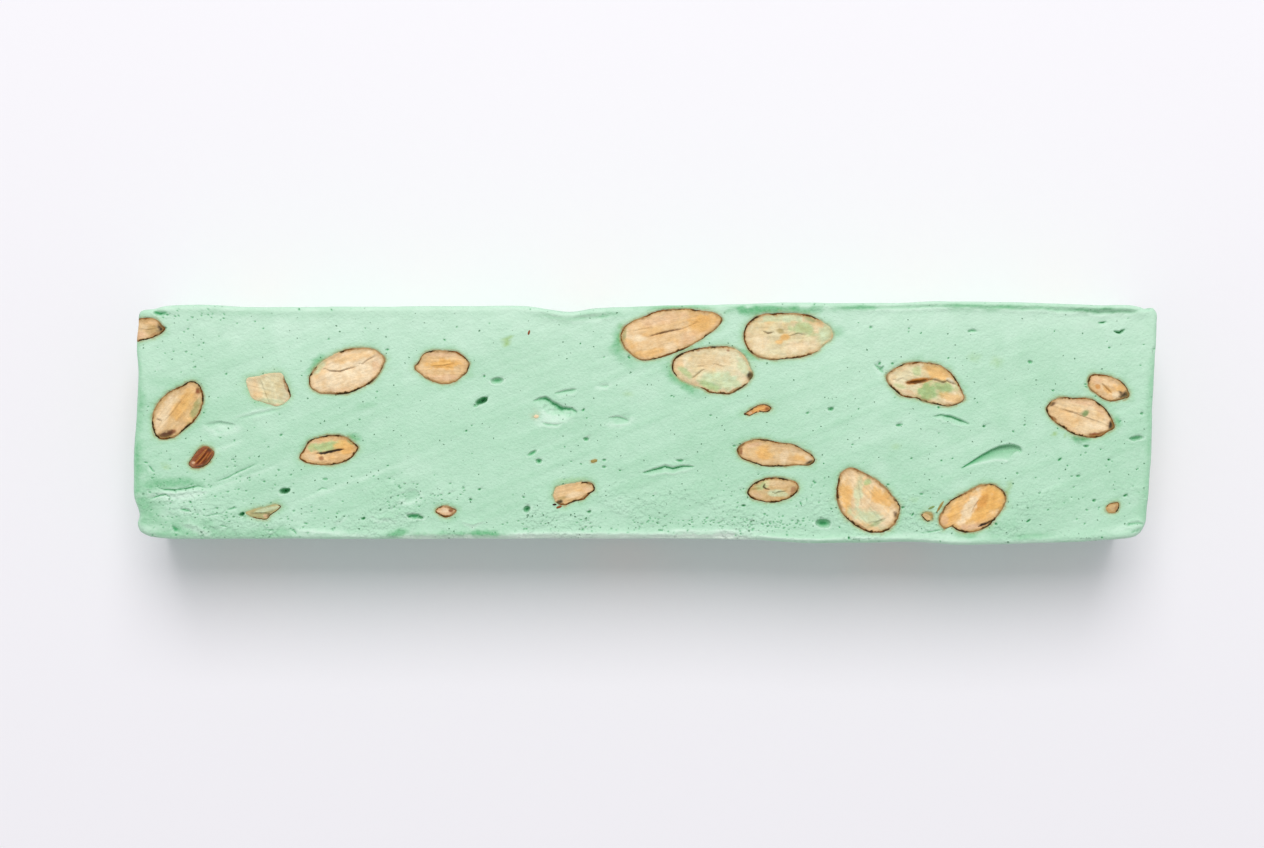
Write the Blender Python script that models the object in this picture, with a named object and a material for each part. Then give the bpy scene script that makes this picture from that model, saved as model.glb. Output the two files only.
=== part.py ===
"""Bar of mint nougat sawn from a slab, with whole almonds cut flush at its faces.

Metres, +Z up. The origin is the centre of the flat underside; +X runs along the bar and +Y to its back.
Every kernel is a closed solid that ends exactly in the bar's surface and sits in its own pocket.
"""

import math

import bmesh
import bpy
from mathutils import Matrix

MM = 0.001

# Bar
HEIGHT = 25.0
HALF_LENGTH = 101.6
HALF_WIDTH = 23.5
END_SKEW_RIGHT = 0.040
END_SKEW_LEFT = 0.020
LARGEST_STEP = 5.2
SETTLE = 0.6

# Kernels: gap to the nougat, how far their mesh stands out of the face before the bar's surface cuts it
# (a share of the depth, with a least value), and the shares of depth and outline where they round off
POCKET_GAP = 0.3
STAND_OUT = 0.55
STAND_OUT_LEAST = 0.6
SHOULDER_DEPTH = 0.50
SHOULDER_SCALE = 0.86
HEEL_DEPTH = 0.88
HEEL_SCALE = 0.48
CUT_ALMOND_POINTS = 12

# Outline of the upper edge in plan, counter-clockwise from the front left corner: x, y and how far the
# pressed-up lip stands there (0 none, 1 full), in mm.
EDGE = (
    (-101.40, -20.30, 0.3),
    (-100.90, -21.50, 0.5),
    (-99.70, -22.30, 0.8),
    (-96.40, -22.90, 0.9),
    (-91.00, -23.05, 0.7),
    (-84.00, -23.00, 0.4),
    (-66.00, -23.00, 0.4),
    (-42.00, -23.05, 0.5),
    (-27.00, -23.00, 0.8),
    (-14.00, -22.95, 1.0),
    (0.00, -23.00, 0.8),
    (11.00, -23.05, 0.9),
    (22.00, -23.25, 0.8),
    (32.40, -23.90, 1.0),
    (43.00, -23.75, 0.8),
    (56.00, -23.75, 0.9),
    (63.00, -24.20, 1.0),
    (71.00, -24.10, 0.6),
    (80.40, -23.90, 0.7),
    (91.00, -23.40, 0.8),
    (95.00, -23.05, 1.0),
    (98.60, -22.20, 1.0),
    (99.60, -20.70, 0.7),
    (100.40, -16.30, 0.2),
    (100.80, -11.00, 0.1),
    (101.20, -4.30, 0.1),
    (101.30, 2.70, 0.1),
    (101.80, 11.30, 0.2),
    (102.20, 19.90, 0.4),
    (102.10, 22.40, 0.8),
    (101.50, 23.10, 0.9),
    (100.40, 22.85, 0.9),
    (98.40, 23.50, 0.9),
    (91.60, 23.70, 0.9),
    (81.40, 24.10, 0.8),
    (71.00, 24.35, 0.7),
    (61.40, 24.45, 0.8),
    (58.00, 24.55, 0.8),
    (49.40, 24.10, 0.6),
    (39.00, 24.10, 0.5),
    (32.40, 24.20, 0.4),
    (22.00, 24.00, 0.2),
    (15.00, 23.80, 0.0),
    (-2.20, 23.40, 0.0),
    (-10.60, 22.90, 0.9),
    (-15.60, 22.20, 1.0),
    (-19.20, 22.75, 0.9),
    (-22.60, 23.35, 0.5),
    (-35.00, 23.45, 0.3),
    (-48.40, 23.40, 0.3),
    (-62.00, 23.35, 0.3),
    (-77.40, 23.30, 0.3),
    (-94.60, 23.60, 0.6),
    (-96.30, 23.40, 0.7),
    (-98.20, 22.90, 0.5),
    (-100.80, 22.30, 0.3),
    (-101.30, 19.50, 0.1),
    (-101.60, 16.30, 0.1),
    (-101.20, 10.10, 0.1),
    (-101.60, 2.70, 0.1),
    (-102.10, -4.30, 0.1),
    (-102.20, -11.10, 0.1),
    (-102.10, -14.70, 0.1),
    (-101.05, -18.50, 0.2),
)

# Stations of the bar's section from the underside up: height, inset from the edge, lip lift, and how
# much of the upper edge's wander has settled to the straight saw cut (all mm but the last).
SECTION = (
    (0.00, 0.90, 0.00, 1.0),
    (0.35, 0.20, 0.00, 1.0),
    (1.20, 0.00, 0.00, 1.0),
    (12.50, -0.12, 0.00, 0.7),
    (23.60, 0.02, 0.00, 0.1),
    (24.65, 0.32, 0.00, 0.0),
    (25.00, 1.00, 0.30, 0.0),
    (25.00, 2.30, 0.00, 0.0),
)

# Kernels cut by the top face: outline on the face and depth below it (mm).
TOP_KERNELS = {
    "almond_01": (
        ((-97.7, 20.8), (-96.6, 19.8), (-95.9, 18.9), (-96.6, 18.1), (-98.0, 17.3), (-99.6, 16.7),
         (-101.5, 16.3), (-103.5, 16.6), (-105.2, 17.8), (-105.0, 19.6), (-103.0, 20.7), (-100.0, 21.1)),
        3.6,
    ),
    "almond_02": (
        ((-97.4, -2.9), (-98.4, -1.2), (-98.6, 1.0), (-98.1, 3.0), (-96.6, 5.1), (-94.6, 6.7),
         (-92.6, 7.6), (-90.8, 8.5), (-89.4, 8.0), (-88.5, 6.5), (-88.2, 4.6), (-88.8, 2.5),
         (-90.2, 0.4), (-92.0, -1.2), (-93.8, -2.7), (-95.4, -3.1)),
        4.0,
    ),
    "almond_03": (
        ((-67.2, 8.8), (-66.7, 7.1), (-65.2, 6.1), (-62.5, 5.9), (-60.0, 5.9), (-57.5, 6.7),
         (-55.2, 7.9), (-53.4, 9.6), (-52.3, 11.5), (-51.9, 13.0), (-53.0, 14.2), (-54.8, 15.05),
         (-57.0, 15.1), (-59.8, 14.8), (-62.2, 13.8), (-64.6, 12.3), (-66.4, 10.6)),
        4.2,
    ),
    "almond_04": (
        ((-69.1, -7.0), (-68.3, -5.2), (-67.2, -3.5), (-65.3, -2.7), (-62.5, -2.3), (-60.0, -2.6),
         (-58.4, -3.6), (-57.3, -4.8), (-58.0, -6.1), (-59.4, -7.4), (-61.5, -8.1), (-64.0, -8.35),
         (-66.4, -8.2), (-68.3, -7.6)),
        3.0,
    ),
    "almond_05": (
        ((-46.1, 11.3), (-45.2, 12.5), (-44.3, 13.9), (-42.5, 14.6), (-40.0, 14.65), (-37.6, 14.3),
         (-35.9, 13.2), (-35.05, 11.8), (-35.5, 10.4), (-36.8, 9.2), (-38.6, 8.0), (-40.6, 7.9),
         (-42.8, 8.5), (-44.8, 9.7)),
        3.2,
    ),
    "almond_06": (
        ((-4.9, 17.3), (-4.4, 19.1), (-2.6, 20.4), (-0.2, 21.4), (2.4, 22.4), (5.5, 22.75),
         (8.5, 22.8), (11.5, 22.4), (14.2, 21.8), (15.5, 20.9), (14.6, 19.3), (12.6, 17.7),
         (10.4, 16.2), (8.0, 14.95), (5.0, 13.7), (2.0, 12.8), (-0.5, 12.6), (-2.6, 13.6), (-4.2, 15.2)),
        4.6,
    ),
    "almond_07": (
        ((5.5, 12.2), (5.8, 13.0), (6.8, 13.75), (8.6, 14.45), (11.0, 15.0), (14.0, 15.4), (17.0, 15.25),
         (18.9, 14.4), (20.2, 13.1), (20.9, 11.5), (21.6, 9.5), (20.8, 8.3), (19.2, 7.0), (17.1, 5.9),
         (15.0, 5.95), (13.0, 6.1), (11.0, 7.1), (8.5, 8.1), (6.4, 9.3), (5.4, 10.8)),
        4.2,
    ),
    "almond_08": (
        ((19.7, 17.3), (20.0, 19.2), (21.2, 20.7), (23.2, 21.8), (26.0, 22.05), (29.5, 22.1),
         (32.8, 21.7), (35.4, 20.4), (37.2, 19.0), (37.6, 17.4), (36.0, 15.9), (34.4, 14.3),
         (31.8, 13.4), (28.5, 12.9), (25.0, 12.7), (22.3, 13.4), (20.6, 14.9)),
        4.4,
    ),
    "almond_09": (
        ((18.3, -5.2), (19.6, -3.9), (21.5, -3.2), (24.2, -3.15), (26.8, -3.75), (29.8, -4.2),
         (31.8, -5.2), (33.6, -6.5), (34.0, -7.4), (33.3, -8.2), (30.5, -8.35), (27.0, -8.6),
         (23.8, -8.55), (21.4, -7.8), (18.9, -6.6)),
        2.9,
    ),
    "almond_10": (
        ((20.4, -13.9), (21.2, -12.4), (23.2, -11.2), (25.8, -10.75), (28.3, -11.15), (30.3, -11.75),
         (30.8, -12.8), (30.0, -14.2), (28.3, -15.2), (25.8, -15.8), (23.0, -15.5), (21.2, -14.9)),
        2.7,
    ),
    "almond_11": (
        ((38.2, -14.3), (38.5, -11.8), (39.3, -9.7), (41.0, -8.75), (43.0, -9.4), (45.6, -10.8),
         (47.8, -12.4), (49.5, -14.4), (51.0, -16.6), (50.7, -18.5), (49.9, -20.2), (48.2, -21.5),
         (46.0, -21.9), (44.0, -21.5), (41.6, -20.1), (39.9, -18.6), (38.7, -16.6)),
        4.4,
    ),
    "almond_12": (
        ((48.15, 9.3), (49.2, 10.6), (51.3, 11.8), (54.0, 12.3), (57.2, 12.1), (59.4, 11.5),
         (61.4, 10.0), (62.5, 8.4), (63.4, 6.6), (63.9, 4.9), (62.6, 3.9), (60.8, 3.5), (58.0, 3.8),
         (55.8, 4.4), (54.0, 5.0), (51.4, 5.5), (49.7, 6.8), (48.5, 8.0)),
        4.0,
    ),
    "almond_13": (
        ((58.7, -19.2), (59.4, -17.5), (61.0, -15.5), (63.0, -14.3), (65.2, -13.1), (67.0, -12.3),
         (69.0, -12.1), (71.0, -12.9), (72.2, -14.6), (71.9, -16.3), (70.9, -18.0), (69.4, -19.9),
         (67.2, -21.3), (64.6, -21.8), (62.5, -21.4), (61.2, -20.6), (60.0, -21.1), (59.0, -20.4)),
        4.0,
    ),
    "almond_14": (
        ((80.15, 2.9), (81.0, 4.3), (82.8, 5.15), (86.0, 5.1), (89.0, 5.0), (91.1, 3.85), (92.6, 2.3),
         (93.6, 0.4), (93.9, -0.7), (92.4, -1.8), (90.3, -2.85), (88.0, -2.7), (85.8, -2.1),
         (83.3, -0.7), (81.2, 0.9)),
        3.8,
    ),
    "almond_15": (
        ((88.5, 8.4), (89.1, 9.6), (91.2, 9.8), (93.6, 9.2), (95.4, 8.3), (96.5, 6.8), (96.75, 5.4),
         (95.4, 4.8), (93.6, 4.35), (91.8, 4.7), (90.2, 5.85), (88.8, 7.1)),
        2.6,
    ),
    "almond_16": (
        ((-18.3, -14.3), (-17.9, -13.0), (-16.3, -12.25), (-14.0, -11.9), (-11.6, -11.65),
         (-10.3, -12.2), (-10.1, -13.3), (-11.2, -14.3), (-12.1, -15.15), (-14.2, -15.65),
         (-16.3, -16.4), (-17.6, -15.9)),
        2.0,
    ),
    "chip_01": (
        ((-91.2, -8.2), (-90.5, -8.85), (-88.4, -8.7), (-87.2, -7.8), (-86.1, -5.8), (-88.0, -4.4),
         (-89.6, -5.5), (-90.6, -6.9)),
        1.4,
    ),
    "chip_02": (
        ((-79.7, 8.9), (-77.5, 9.5), (-74.6, 10.1), (-72.6, 10.0), (-71.7, 8.3), (-70.9, 5.2),
         (-73.5, 3.5), (-76.0, 4.1), (-78.8, 5.3), (-79.4, 7.0)),
        2.2,
    ),
    "chip_03": (
        ((-79.9, -17.9), (-78.4, -17.2), (-76.0, -16.7), (-73.6, -16.2), (-72.8, -16.5), (-73.7, -17.5),
         (-74.9, -18.3), (-75.6, -19.1), (-76.8, -19.1), (-78.9, -18.5)),
        1.1,
    ),
    "chip_04": (
        ((-41.9, -17.6), (-41.2, -16.75), (-39.8, -16.35), (-38.7, -16.75), (-37.7, -17.3),
         (-38.5, -18.4), (-39.7, -18.8), (-41.1, -18.3)),
        1.2,
    ),
    "chip_05": (
        ((20.1, 1.9), (21.2, 2.9), (22.4, 3.6), (24.3, 3.75), (25.3, 3.1), (24.7, 2.4), (23.2, 2.3),
         (21.8, 2.0), (20.9, 1.55)),
        1.0,
    ),
    "chip_06": (
        ((55.3, -18.3), (56.3, -17.7), (57.4, -18.0), (57.6, -18.8), (56.7, -19.6), (55.8, -19.1)),
        0.9,
    ),
    "chip_07": (
        ((92.1, -16.9), (92.5, -16.2), (93.6, -15.8), (94.7, -15.9), (94.8, -16.9), (94.2, -17.7),
         (92.9, -17.9)),
        1.0,
    ),
}

# Kernels cut by the other faces: along the face, up (or across) it, length, width, turn (degrees), depth.
CUT_KERNELS = {
    "front": (
        (-83.0, 12.5, 15.0, 9.0, 20.0, 3.6),
        (-39.0, 14.0, 12.5, 8.0, -38.0, 3.2),
        (-3.0, 9.5, 18.0, 10.0, 9.0, 4.2),
        (26.0, 15.0, 10.5, 6.5, 155.0, 2.8),
        (53.0, 8.2, 15.5, 8.6, -14.0, 3.6),
        (86.0, 13.0, 12.0, 7.4, 32.0, 3.0),
    ),
    "back": (
        (-88.0, 10.5, 14.0, 8.6, -24.0, 3.4),
        (-57.0, 13.5, 17.0, 9.0, 12.0, 3.8),
        (-24.0, 9.0, 11.5, 7.4, 140.0, 3.0),
        (11.0, 10.5, 16.0, 9.0, -10.0, 3.8),
        (47.0, 14.0, 14.5, 8.2, 24.0, 3.4),
        (80.0, 9.5, 13.0, 8.0, 170.0, 3.2),
    ),
    "left": ((-4.0, 11.5, 15.0, 8.8, 16.0, 3.6),),
    "right": (
        (-10.0, 10.0, 14.0, 8.4, -18.0, 3.4),
        (11.5, 15.0, 11.0, 6.8, 35.0, 2.8),
    ),
    "base": (
        (-77.0, 8.0, 17.0, 9.6, 26.0, 4.0),
        (-47.0, -10.5, 15.0, 9.0, -32.0, 3.6),
        (-16.0, 9.5, 12.5, 7.8, 14.0, 3.0),
        (21.0, -8.5, 17.5, 9.8, 165.0, 4.0),
        (53.0, 9.5, 14.0, 8.6, -20.0, 3.4),
        (83.0, -7.5, 15.5, 8.8, 38.0, 3.6),
    ),
}

# Bubbles, tears and the knife's gouge in the top face: x, y, length, width, depth (mm) and turn (degrees).
TOP_HOLES = (
    (-32.6, 4.6, 2.6, 1.4, 1.8, 24.0),
    (-72.1, -13.5, 2.2, 1.2, 1.6, 18.0),
    (-18.4, 2.6, 8.0, 4.2, 0.9, -16.0),
    (-15.7, 6.7, 4.4, 0.9, 0.7, 11.0),
    (4.8, -9.0, 10.2, 1.3, 0.9, 6.0),
    (69.4, -7.2, 12.4, 2.2, 0.9, 18.0),
    (61.2, 0.9, 7.6, 1.5, 0.7, -13.0),
    (35.6, -19.9, 2.4, 1.5, 1.2, -4.0),
    (94.8, 18.5, 2.4, 0.9, 0.9, 10.0),
    (98.0, -2.9, 2.8, 1.0, 0.8, 6.0),
    (-29.6, 8.7, 2.4, 1.2, 0.6, 8.0),
)

MINT = (186, 225, 198)
KERNEL_TAN = (238, 203, 152)
KERNEL_PALE = (233, 211, 172)
SKIN_BROWN = (150, 84, 38)
CHIP_BUFF = (208, 171, 122)


def linear(value):
    """One sRGB channel of 0 to 255 as linear light."""
    share = value / 255.0
    if share <= 0.04045:
        return share / 12.92
    return ((share + 0.055) / 1.055) ** 2.4


def material(name, colour, roughness):
    """A plain Principled material."""
    made = bpy.data.materials.new(name)
    made.use_nodes = True
    shader = made.node_tree.nodes["Principled BSDF"]
    shader.inputs["Base Color"].default_value = (*(linear(c) for c in colour), 1.0)
    shader.inputs["Roughness"].default_value = roughness
    shader.inputs["Metallic"].default_value = 0.0
    return made


def spline(points, largest_step):
    """A closed smooth curve through the points, with no step longer than largest_step.

    Each span between two points is a Catmull-Rom cubic, cut into as many equal parts as its length needs.
    """
    count = len(points)
    curve = []
    for i in range(count):
        before, start, end, after = (points[(i + k) % count] for k in (-1, 0, 1, 2))
        steps = max(1, math.ceil(math.dist(start[:2], end[:2]) / largest_step))
        for step in range(steps):
            t = step / steps
            weights = (
                (-t + 2.0 * t * t - t**3) / 2.0,
                (2.0 - 5.0 * t * t + 3.0 * t**3) / 2.0,
                (t + 4.0 * t * t - 3.0 * t**3) / 2.0,
                (-t * t + t**3) / 2.0,
            )
            rows = zip(before, start, end, after)
            curve.append(tuple(sum(w * c for w, c in zip(weights, row)) for row in rows))
    return curve


def settled(x, y, share):
    """The edge point moved towards the straight, slightly skewed saw cuts by a share of its distance."""
    pull = share * SETTLE
    if abs(y) > 21.0:
        y += pull * (math.copysign(HALF_WIDTH, y) - y)
    if abs(x) > 99.0:
        skew = END_SKEW_RIGHT if x > 0 else END_SKEW_LEFT
        x += pull * (math.copysign(HALF_LENGTH, x) + skew * y - x)
    return x, y


def loft(rings):
    """A closed mesh through rings of equal length; the first and last are capped flat or by a pole."""
    mesh = bmesh.new()
    rows = [[mesh.verts.new([c * MM for c in point]) for point in ring] for ring in rings]
    for lower, upper in zip(rows, rows[1:]):
        if len(upper) == 1:
            for a, b in zip(lower, lower[1:] + lower[:1]):
                mesh.faces.new((a, b, upper[0]))
            continue
        for i in range(len(lower)):
            k = (i + 1) % len(lower)
            mesh.faces.new((lower[i], lower[k], upper[k], upper[i]))
    mesh.faces.new(reversed(rows[0]))
    if len(rows[-1]) > 1:
        mesh.faces.new(rows[-1])
    bmesh.ops.recalc_face_normals(mesh, faces=mesh.faces)
    return mesh


def add_object(name, mesh, collection, look=None, matrix=None):
    """Puts the bmesh into a new named object."""
    data = bpy.data.meshes.new(name)
    mesh.to_mesh(data)
    mesh.free()
    if look is not None:
        data.materials.append(look)
    made = bpy.data.objects.new(name, data)
    if matrix is not None:
        made.matrix_world = matrix
    collection.objects.link(made)
    return made


def hide(made):
    """Marks a cutter, which is drawn as wires and left out of the render."""
    made.hide_render = True
    made.display_type = "WIRE"


def bar_mesh():
    """The whole bar before anything is set into it: its section carried round the edge outline."""
    edge = spline(EDGE, LARGEST_STEP)
    rings = []
    for height, inset, lift, share in SECTION:
        ring = []
        for x, y, lip in edge:
            x, y = settled(x, y, share)
            x *= 1.0 - inset / HALF_LENGTH
            y *= 1.0 - inset / HALF_WIDTH
            ring.append((x, y, height + lift * lip))
        rings.append(ring)
    return loft(rings)


def signed_area(outline):
    """Area of a closed outline, positive when it runs counter-clockwise."""
    following = outline[1:] + outline[:1]
    return sum(a[0] * b[1] - b[0] * a[1] for a, b in zip(outline, following)) / 2.0


def grown(outline, distance):
    """The counter-clockwise outline moved outwards by a distance, with its corners mitred."""
    count = len(outline)
    moved = []
    for i, (x, y) in enumerate(outline):
        ax, ay = outline[i - 1]
        bx, by = outline[(i + 1) % count]
        first = math.atan2(y - ay, x - ax)
        second = math.atan2(by - y, bx - x)
        half = math.remainder(second - first, 2.0 * math.pi) / 2.0
        reach = distance / max(math.cos(half), 0.5)
        angle = first + half - math.pi / 2.0
        moved.append((x + reach * math.cos(angle), y + reach * math.sin(angle)))
    return moved


def kernel_mesh(outline, depth, gap):
    """A cut almond: its outline on the face, narrowing below it like the rest of the kernel.

    The outline is about its own centre. The mesh stands out of the face, where the bar's own surface
    cuts it off.
    """
    loop = grown(outline, gap) if gap else outline
    deep = depth + gap
    stand = max(STAND_OUT * deep, STAND_OUT_LEAST)
    flare = 1.0 + (1.0 - SHOULDER_SCALE) * stand / (SHOULDER_DEPTH * deep)
    stations = (
        (stand, flare),
        (-SHOULDER_DEPTH * deep, SHOULDER_SCALE),
        (-HEEL_DEPTH * deep, HEEL_SCALE),
    )
    rings = [[(x * scale, y * scale, z) for x, y in loop] for z, scale in stations]
    rings.append([(0.0, 0.0, -deep)])
    return loft(rings)


def almond_outline(length, width):
    """A generic almond section: an ellipse drawn out to a point at +x and blunt at -x."""
    outline = []
    for i in range(CUT_ALMOND_POINTS):
        angle = 2.0 * math.pi * i / CUT_ALMOND_POINTS
        along = math.cos(angle)
        across = math.sin(angle) * (1.0 - 0.22 * along)
        outline.append((length / 2.0 * along, width / 2.0 * across))
    return outline


def face_frame(face, along, up, turn):
    """Places local x along a face, local y up (or across) it and local z out of it, turned in its plane."""
    spin = Matrix.Rotation(math.radians(turn), 4, "Z")
    upright = Matrix.Rotation(math.radians(90.0), 4, "X")
    places = {
        "front": (along, -HALF_WIDTH, up, 0.0),
        "right": (HALF_LENGTH, along, up, 90.0),
        "back": (-along, HALF_WIDTH, up, 180.0),
        "left": (-HALF_LENGTH, -along, up, -90.0),
    }
    if face == "base":
        flip = Matrix.Rotation(math.radians(180.0), 4, "X")
        return Matrix.Translation((along * MM, up * MM, 0.0)) @ flip @ spin
    x, y, z, heading = places[face]
    facing = Matrix.Rotation(math.radians(heading), 4, "Z")
    return Matrix.Translation((x * MM, y * MM, z * MM)) @ facing @ upright @ spin


def all_kernels():
    """Every kernel as name, outline about its own centre, depth and placement."""
    for name, (points, depth) in TOP_KERNELS.items():
        outline = [tuple(point) for point in points]
        if signed_area(outline) < 0.0:
            outline.reverse()
        cx = sum(x for x, _ in outline) / len(outline)
        cy = sum(y for _, y in outline) / len(outline)
        centred = [(x - cx, y - cy) for x, y in outline]
        yield name, centred, depth, Matrix.Translation((cx * MM, cy * MM, HEIGHT * MM))
    for face, places in CUT_KERNELS.items():
        for number, (along, up, length, width, turn, depth) in enumerate(places, start=1):
            frame = face_frame(face, along, up, turn)
            yield f"{face}_almond_{number}", almond_outline(length, width), depth, frame


def hole_mesh(length, width, depth):
    """A smooth-bottomed hole: half an ellipsoid below the face, closed by a lid above it."""
    rings = []
    for z, scale in ((0.5, 1.05), (-0.45 * depth, 0.84), (-0.85 * depth, 0.45)):
        ring = []
        for i in range(10):
            angle = 2.0 * math.pi * i / 10
            x = length / 2.0 * math.cos(angle) * scale
            ring.append((x, width / 2.0 * math.sin(angle) * scale, z))
        rings.append(ring)
    rings.append([(0.0, 0.0, -depth)])
    return loft(rings)


def boolean(made, operation, cutter=None, collection=None):
    """Adds an exact Boolean against one object or a collection."""
    cut = made.modifiers.new(operation.title(), "BOOLEAN")
    cut.operation = operation
    cut.solver = "EXACT"
    if collection is not None:
        cut.operand_type = "COLLECTION"
        cut.collection = collection
    else:
        cut.object = cutter
    return cut


def main():
    for old in list(bpy.data.objects):
        bpy.data.objects.remove(old, do_unlink=True)
    scene = bpy.context.scene.collection
    cutters = bpy.data.collections.new("cutters")
    scene.children.link(cutters)

    mint = material("nougat_mint", MINT, 0.62)
    almond = material("almond_flesh", KERNEL_TAN, 0.55)
    looks = {
        "chip_01": material("almond_skin", SKIN_BROWN, 0.6),
        "chip_02": material("almond_pale", KERNEL_PALE, 0.55),
        "chip_05": material("almond_toasted", CHIP_BUFF, 0.55),
    }

    blank = add_object("bar_blank", bar_mesh(), scene)
    hide(blank)
    nougat = add_object("nougat", bar_mesh(), scene, mint)

    for name, outline, depth, frame in all_kernels():
        look = looks.get(name, almond)
        kernel = add_object(name, kernel_mesh(outline, depth, 0.0), scene, look, frame)
        boolean(kernel, "INTERSECT", blank)
        pocket = kernel_mesh(outline, depth, POCKET_GAP)
        hide(add_object(f"{name}_pocket", pocket, cutters, None, frame))

    for number, (x, y, length, width, depth, turn) in enumerate(TOP_HOLES, start=1):
        frame = Matrix.Translation((x * MM, y * MM, HEIGHT * MM)) @ Matrix.Rotation(math.radians(turn), 4, "Z")
        hide(add_object(f"hole_{number}", hole_mesh(length, width, depth), cutters, None, frame))

    boolean(nougat, "DIFFERENCE", collection=cutters)


main()
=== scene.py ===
"""Mint nougat bar with cut almonds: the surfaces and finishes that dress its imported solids.

Lengths in the tables are millimetres in the frame of the bar: x along it, y to its back, z up, with the
origin at the centre of its underside. Each face of the bar also has its own u and v in its plane and w
out of it.
"""

from __future__ import annotations

import logging
import math
from dataclasses import dataclass, field
from enum import Enum

import bpy
import numpy as np
from bpy.types import Material, Mesh, Node, NodeSocket, NodeTree, Object
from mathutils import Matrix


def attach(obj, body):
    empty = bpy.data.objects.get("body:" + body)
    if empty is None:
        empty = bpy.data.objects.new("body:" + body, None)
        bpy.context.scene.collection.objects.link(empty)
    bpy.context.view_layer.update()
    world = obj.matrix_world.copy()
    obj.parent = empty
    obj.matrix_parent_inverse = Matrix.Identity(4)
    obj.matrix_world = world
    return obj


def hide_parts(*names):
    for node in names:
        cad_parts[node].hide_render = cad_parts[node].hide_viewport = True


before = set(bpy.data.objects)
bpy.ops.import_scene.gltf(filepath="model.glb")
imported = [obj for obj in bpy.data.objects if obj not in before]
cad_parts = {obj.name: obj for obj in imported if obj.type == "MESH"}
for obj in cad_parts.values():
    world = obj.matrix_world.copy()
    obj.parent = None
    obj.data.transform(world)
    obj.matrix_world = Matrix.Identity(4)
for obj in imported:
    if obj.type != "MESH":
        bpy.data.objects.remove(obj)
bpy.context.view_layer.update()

LOG = logging.getLogger("nougat_bar")
MM = 0.001
Array = np.ndarray
Path = tuple[tuple[float, float], ...]
RGB = tuple[int, int, int]

HEIGHT = 25.0
HALF_LENGTH = 101.6
HALF_WIDTH = 23.5
SEED = 20417
FULL_TURN = 2.0 * math.pi
WHOLE = (slice(None), slice(None))


# ---- tables


class Face(Enum):
    """The six faces of the bar."""

    TOP = "top"
    BASE = "base"
    FRONT = "front"
    BACK = "back"
    LEFT = "left"
    RIGHT = "right"


class Tone(Enum):
    """Colours of cut almond and nougat as sRGB of 0 to 255."""

    MINT = (179, 222, 193)
    PALE_MINT = (218, 243, 226)
    DEEP_MINT = (100, 180, 124)
    DARK_MINT = (40, 118, 64)
    # A pale grey, laid as a band on the upper front wall and as one patch on a kernel.
    PALE_GREY = (220, 233, 222)
    LIME = (150, 186, 92)
    SAND = (188, 150, 96)
    CREAM = (240, 219, 184)
    WHEAT = (232, 206, 164)
    TAN = (228, 193, 143)
    AMBER = (233, 182, 104)
    DEEP_AMBER = (208, 140, 62)
    BLUSH = (228, 190, 154)
    PALE_GREEN = (203, 219, 180)
    LEAF = (172, 200, 140)
    MOSS = (128, 156, 98)
    OLIVE = (158, 140, 76)
    RUST = (140, 76, 36)
    CHESTNUT = (128, 50, 4)
    BARK = (84, 46, 18)
    UMBER = (44, 26, 10)


class Slot(Enum):
    """Material slots of the record, one listed with each piece."""

    NOUGAT = "nougat"
    FLESH = "almond_flesh"
    PALE = "almond_pale"
    SKIN = "almond_skin"
    TOASTED = "almond_toasted"


# Upper edge in plan, counter-clockwise from the front left corner: x, y and the pressed-up lip (0 to 1).
EDGE = (
    (-101.58, -20.3, 0.3), (-101.08, -21.5, 0.5), (-99.7, -22.38, 0.8), (-96.4, -22.98, 0.9),
    (-91, -23.13, 0.7), (-84, -23.08, 0.4), (-66, -23.08, 0.4), (-42, -23.13, 0.5), (-27, -23.08, 0.8),
    (-14, -23.03, 1), (0, -23.08, 0.8), (11, -23.13, 0.9), (22, -23.39, 0.8), (32.4, -24.04, 1),
    (43, -23.89, 0.8), (56, -23.89, 0.9), (63, -24.34, 1), (71, -24.18, 0.6), (80.4, -23.98, 0.7),
    (91, -23.48, 0.8), (95, -23.13, 1), (98.6, -22.28, 1), (99.82, -20.7, 0.7), (100.62, -16.3, 0.2),
    (101.02, -11, 0.1), (101.42, -4.3, 0.1), (101.52, 2.7, 0.1), (102.02, 11.3, 0.2), (102.42, 19.9, 0.4),
    (102.32, 22.45, 0.8), (101.72, 23.15, 0.9), (100.62, 22.9, 0.9), (98.4, 23.55, 0.9), (91.6, 23.75, 0.9),
    (81.4, 24.15, 0.8), (71, 24.4, 0.7), (61.4, 24.5, 0.8), (58, 24.6, 0.8), (49.4, 24.15, 0.6),
    (39, 24.15, 0.5), (32.4, 24.25, 0.4), (22, 24.05, 0.2), (15, 23.85, 0), (-2.2, 23.45, 0),
    (-10.6, 22.95, 0.9), (-15.6, 22.25, 1), (-19.2, 22.8, 0.9), (-22.6, 23.4, 0.5), (-35, 23.5, 0.3),
    (-48.4, 23.45, 0.3), (-62, 23.4, 0.3), (-77.4, 23.35, 0.3), (-94.6, 23.65, 0.6), (-96.3, 23.45, 0.7),
    (-98.2, 22.95, 0.5), (-100.98, 22.35, 0.3), (-101.48, 19.5, 0.1), (-101.78, 16.3, 0.1),
    (-101.38, 10.1, 0.1), (-101.78, 2.7, 0.1), (-102.28, -4.3, 0.1), (-102.38, -11.1, 0.1),
    (-102.28, -14.7, 0.1), (-101.23, -18.5, 0.2),
)
# Places of the four plan corners along that list: front left, front right, back right, back left.
CORNERS = (1, 21.5, 30, 55)

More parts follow.
